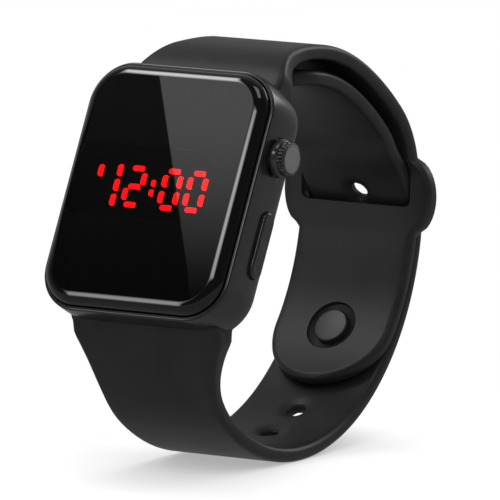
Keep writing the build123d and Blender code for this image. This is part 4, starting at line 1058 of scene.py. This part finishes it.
# Strap roots round the spring bars, as (way in from a side of the flare, inset) at their ends
ROOT_END_ROWS = ((0.0, 0.5 * MM), (0.15 * MM, 0.15 * MM), (0.5 * MM, 0.0))
root_rows = [(reach - FLARE_WIDTH / 2, inset) for reach, inset in ROOT_END_ROWS]
root_rows += [(-across, inset) for across, inset in reversed(root_rows)]
for along, strap in ((BAR_ALONG, strap_upper), (-BAR_ALONG, strap_lower)):
    added = side_cutter("strap_root", along, BAR_HEIGHT, [
        (round_outline(ROOT_RADIUS - inset, ROOT_SIDES), across) for across, inset in root_rows
    ])
    add_boolean(strap, "UNION", added)
    cut(strap, [side_cutter(
        "drill", along, BAR_HEIGHT,
        round_rows(BORE_RADIUS, WELL_SIDES, -FLARE_WIDTH, FLARE_WIDTH),
    )])
    bpy.data.objects.remove(added)
    shade_to(strap.data, angle=40)

# Floor, backdrop and light
floor_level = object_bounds()[0].z


def cleared_tree(data):
    """Empty node tree of a material or world."""
    data.use_nodes = True
    data.node_tree.nodes.clear()
    return data.node_tree


def sheet_mesh(name, width, height, level=0.0):
    """Mesh of one rectangle about the origin."""
    corners = ((-1, -1), (1, -1), (1, 1), (-1, 1))
    points = [(x * width / 2, y * height / 2, level) for x, y in corners]
    mesh = bpy.data.meshes.new(name)
    mesh.from_pydata(points, [], [(0, 1, 2, 3)])
    return mesh


def calculated(tree, operation, *values):
    """Output of a math node over numbers and other outputs."""
    node = add_node(tree, "Math", operation=operation)
    for socket, value in zip(node.inputs, values):
        feed(tree, socket, value)
    return node.outputs[0]


def ramp_over(tree, value, start, end, low_level, high_level):
    """Smooth ramp from one level to another between two values."""
    return add_node(
        tree, "MapRange", interpolation_type="SMOOTHSTEP", Value=value, From_Min=start,
        From_Max=end, To_Min=low_level, To_Max=high_level,
    ).outputs["Result"]


def seen_ways(tree):
    """Two outputs: for rays from the camera, also through glass, and for mirrored rays."""
    rays = add_node(tree, "LightPath").outputs
    through = rays["Is Transmission Ray"]
    bounced = calculated(tree, "MINIMUM", rays["Glossy Depth"], 1.0)
    mirrored_through = calculated(tree, "MULTIPLY", through, bounced)
    straight_through = calculated(tree, "SUBTRACT", through, mirrored_through)
    direct = calculated(tree, "MAXIMUM", rays["Is Camera Ray"], straight_through)
    return direct, calculated(tree, "MAXIMUM", rays["Is Glossy Ray"], mirrored_through)


# White to the camera, but near the watch half matte, to take its shadow. The ramps from here
# on are (start, end, level before, level past)
FLOOR_SIZE = 8.0
FLOOR_SHADE = (0.85, 0.85, 0.85, 1)
FLOOR_WHITE = (0.05, 0.115, 0.4, 1.0)
FLOOR_GLOSSY = 0.34
floor_mesh = sheet_mesh("floor", FLOOR_SIZE, FLOOR_SIZE, floor_level)
floor = placed("floor", floor_mesh)
floor_material = bpy.data.materials.new("floor_white")
floor_mesh.materials.append(floor_material)
tree = cleared_tree(floor_material)
direct, mirrored = seen_ways(tree)
place = add_node(tree, "TexCoord").outputs["Object"]
distance = add_node(tree, "VectorMath", operation="LENGTH", Vector=place).outputs["Value"]
direct_white = calculated(tree, "MULTIPLY", direct, ramp_over(tree, distance, *FLOOR_WHITE))
mirrored_white = calculated(tree, "MULTIPLY", mirrored, FLOOR_GLOSSY)
matte = add_node(tree, "BsdfDiffuse", Color=FLOOR_SHADE)
white = add_node(tree, "Emission", Strength=calculated(tree, "MAXIMUM", direct, mirrored_white))
share = add_node(tree, "MixShader", Fac=calculated(tree, "ADD", direct_white, mirrored))
feed(tree, share.inputs[1], matte.outputs[0])
feed(tree, share.inputs[2], white.outputs[0])
add_node(tree, "OutputMaterial", Surface=share.outputs[0])

# The studio is white to the camera; mirrored it is dim behind the watch and darker before it
WHITE = (1, 1, 1, 1)
WORLD_LIGHT = 0.5
FRONT_SIDE = (0.557, -0.83, 0.0)
ROOM_LIGHT = (-0.6, 0.2, 0.34, 0.1)
world = bpy.data.worlds.new("studio")
bpy.context.scene.world = world
tree = cleared_tree(world)
direct, mirrored = seen_ways(tree)
place = add_node(tree, "TexCoord").outputs["Generated"]
towards = add_node(tree, "VectorMath", operation="DOT_PRODUCT", Vector=place)
towards.inputs[1].default_value = FRONT_SIDE
room = ramp_over(tree, towards.outputs["Value"], *ROOM_LIGHT)
seen_light = calculated(tree, "MAXIMUM", direct, calculated(tree, "MULTIPLY", mirrored, room))
dim = add_node(tree, "Background", Color=WHITE, Strength=WORLD_LIGHT)
bright = add_node(tree, "Background", Color=WHITE, Strength=seen_light)
mix = add_node(tree, "MixShader", Fac=calculated(tree, "MAXIMUM", direct, mirrored))
feed(tree, mix.inputs[1], dim.outputs[0])
feed(tree, mix.inputs[2], bright.outputs[0])
add_node(tree, "OutputWorld", Surface=mix.outputs[0])


def studio_card(name, middle, facing, across, width, height, shade):
    """Card that only reflections see; shade(tree, spot) gives its brightness."""
    normal = facing.normalized()
    right = (across - normal * normal.dot(across)).normalized()
    turn = Matrix((right, normal.cross(right), normal)).transposed()
    mesh = sheet_mesh(name, width, height)
    card = placed(name, mesh)
    card.matrix_world = Matrix.Translation(middle) @ turn.to_4x4()
    card.visible_camera = False
    card.visible_diffuse = False
    card.visible_shadow = False
    card.visible_volume_scatter = False
    material = bpy.data.materials.new(name)
    mesh.materials.append(material)
    tree = cleared_tree(material)
    place = add_node(tree, "TexCoord").outputs["Object"]
    spot = add_node(tree, "SeparateXYZ", Vector=place)
    light = add_node(tree, "Emission", Strength=shade(tree, spot))
    add_node(tree, "OutputMaterial", Surface=light.outputs[0])


def mirror_direction(normal):
    """Where the photograph's view of a surface is mirrored to."""
    return (normal * (2 * VIEW_BACK.dot(normal)) - VIEW_BACK).normalized()


def dial_reflection(tree, spot):
    """Dark card with a bright part past a slanted edge, which fades towards 6 o'clock."""
    along = spot.outputs["Y"]
    lean = calculated(tree, "MULTIPLY", along, -EDGE_LEAN)
    past = calculated(tree, "ADD", spot.outputs["X"], lean)
    inside = ramp_over(tree, past, EDGE_PLACE, EDGE_PLACE + EDGE_SOFTNESS, 0.0, 1.0)
    bright = calculated(tree, "MULTIPLY", inside, ramp_over(tree, along, *FADE))
    return calculated(tree, "ADD", bright, ramp_over(tree, along, *BASE_FADE))


CARD_DISTANCE = 0.3
DIAL_CARD_SIZE = (0.05, 0.056)
EDGE_LEAN = 0.234
EDGE_PLACE = 5.0 * MM
EDGE_SOFTNESS = 0.3 * MM
FADE = (-0.016, 0.024, 1.35, 0.02)
BASE_FADE = (-0.024, 0.024, 0.12, 0.04)
dial_mirror = mirror_direction(DIAL_OUT)
studio_card(
    "dial_card", case_point(0, 0, RIM_HEIGHT) + dial_mirror * CARD_DISTANCE, -dial_mirror,
    ACROSS, *DIAL_CARD_SIZE, dial_reflection,
)

STRIP_TILTS = (1.0, 27.0)
STRIP_HALF_LENGTH = 0.042
STRIP_CORE = 0.1


def soft_spot(tree, value, half):
    """One in the middle of a card, fading to zero at a half width."""
    away = calculated(tree, "ABSOLUTE", value)
    return ramp_over(tree, away, half * STRIP_CORE, half, 1.0, 0.0)


def edge_card(name, edge, place, level):
    """Card that puts a soft strip on a rounded edge of the glass, between two tilts of it."""
    first, last = (radians(tilt) for tilt in STRIP_TILTS)
    seen = [
        mirror_direction(DIAL_OUT * cos(tilt) + edge * sin(tilt))
        for tilt in (first, (first + last) / 2, last)
    ]
    half_width = CARD_DISTANCE * tan(last - first)

    def strip(tree, spot):
        """Brightness of the strip, softer towards its sides and ends."""
        both = calculated(
            tree, "MULTIPLY", soft_spot(tree, spot.outputs["X"], half_width),
            soft_spot(tree, spot.outputs["Y"], STRIP_HALF_LENGTH),
        )
        return calculated(tree, "MULTIPLY", both, level)

    studio_card(
        name, place + seen[1] * CARD_DISTANCE, -seen[1], seen[2] - seen[0],
        2 * half_width, 2 * STRIP_HALF_LENGTH, strip,
    )


for name, edge, middle, level in (
    ("top_strip", DIAL_UP, (0, GLASS_LENGTH / 2), 12.0),
    ("right_strip", ACROSS, (GLASS_WIDTH / 2, 0), 9.0),
    ("low_strip", -DIAL_UP, (0, -GLASS_LENGTH / 2), 6.0),
):
    edge_card(name, edge, case_point(*middle, glass_top), level)

LIGHT_AIM = Vector((0, 0.02, 0))


def softbox(name, direction, distance, width, height, power, in_gloss):
    """Rectangular studio light that faces the watch; in_gloss shows it in reflections."""
    lamp = bpy.data.lights.new(name, "AREA")
    lamp.shape = "RECTANGLE"
    lamp.size = width
    lamp.size_y = height
    lamp.energy = power
    box = placed(name, lamp)
    aim = Vector(direction).normalized()
    box.location = LIGHT_AIM + aim * distance
    box.rotation_euler = aim.to_track_quat("Z", "Y").to_euler()
    box.visible_glossy = in_gloss


softbox("top_light", (-0.2, 0.25, 1.0), 0.6, 0.5, 0.5, 2.4, False)
softbox("left_light", (-1.0, -0.5, 0.5), 0.7, 0.3, 0.6, 1.2, False)
softbox("rear_light", (-0.85, 0.35, 0.5), 0.7, 0.45, 0.4, 1.2, False)
softbox("back_light", (0.3, 0.85, 0.42), 0.7, 0.35, 0.3, 0.9, True)
softbox("high_light", (0.2, -0.2, 1.0), 0.6, 0.25, 0.25, 0.5, True)
softbox("right_light", (0.8, -0.5, 0.65), 0.7, 0.25, 0.6, 2.4, False)

# Camera at the photograph's angle
camera_data = bpy.data.cameras.new("camera")
camera_data.lens = VIEW_LENS
camera = placed("camera", camera_data)
camera.location = case_point(0, 0, RIM_HEIGHT) + VIEW_BACK.normalized() * VIEW_DISTANCE
aim = -VIEW_BACK + VIEW_RIGHT * AIM_RIGHT + VIEW_UP * AIM_UP
camera.rotation_mode = "QUATERNION"
camera.rotation_quaternion = aim.to_track_quat("-Z", "Y")
bpy.context.scene.camera = camera

bpy.context.scene.view_settings.view_transform = "Standard"
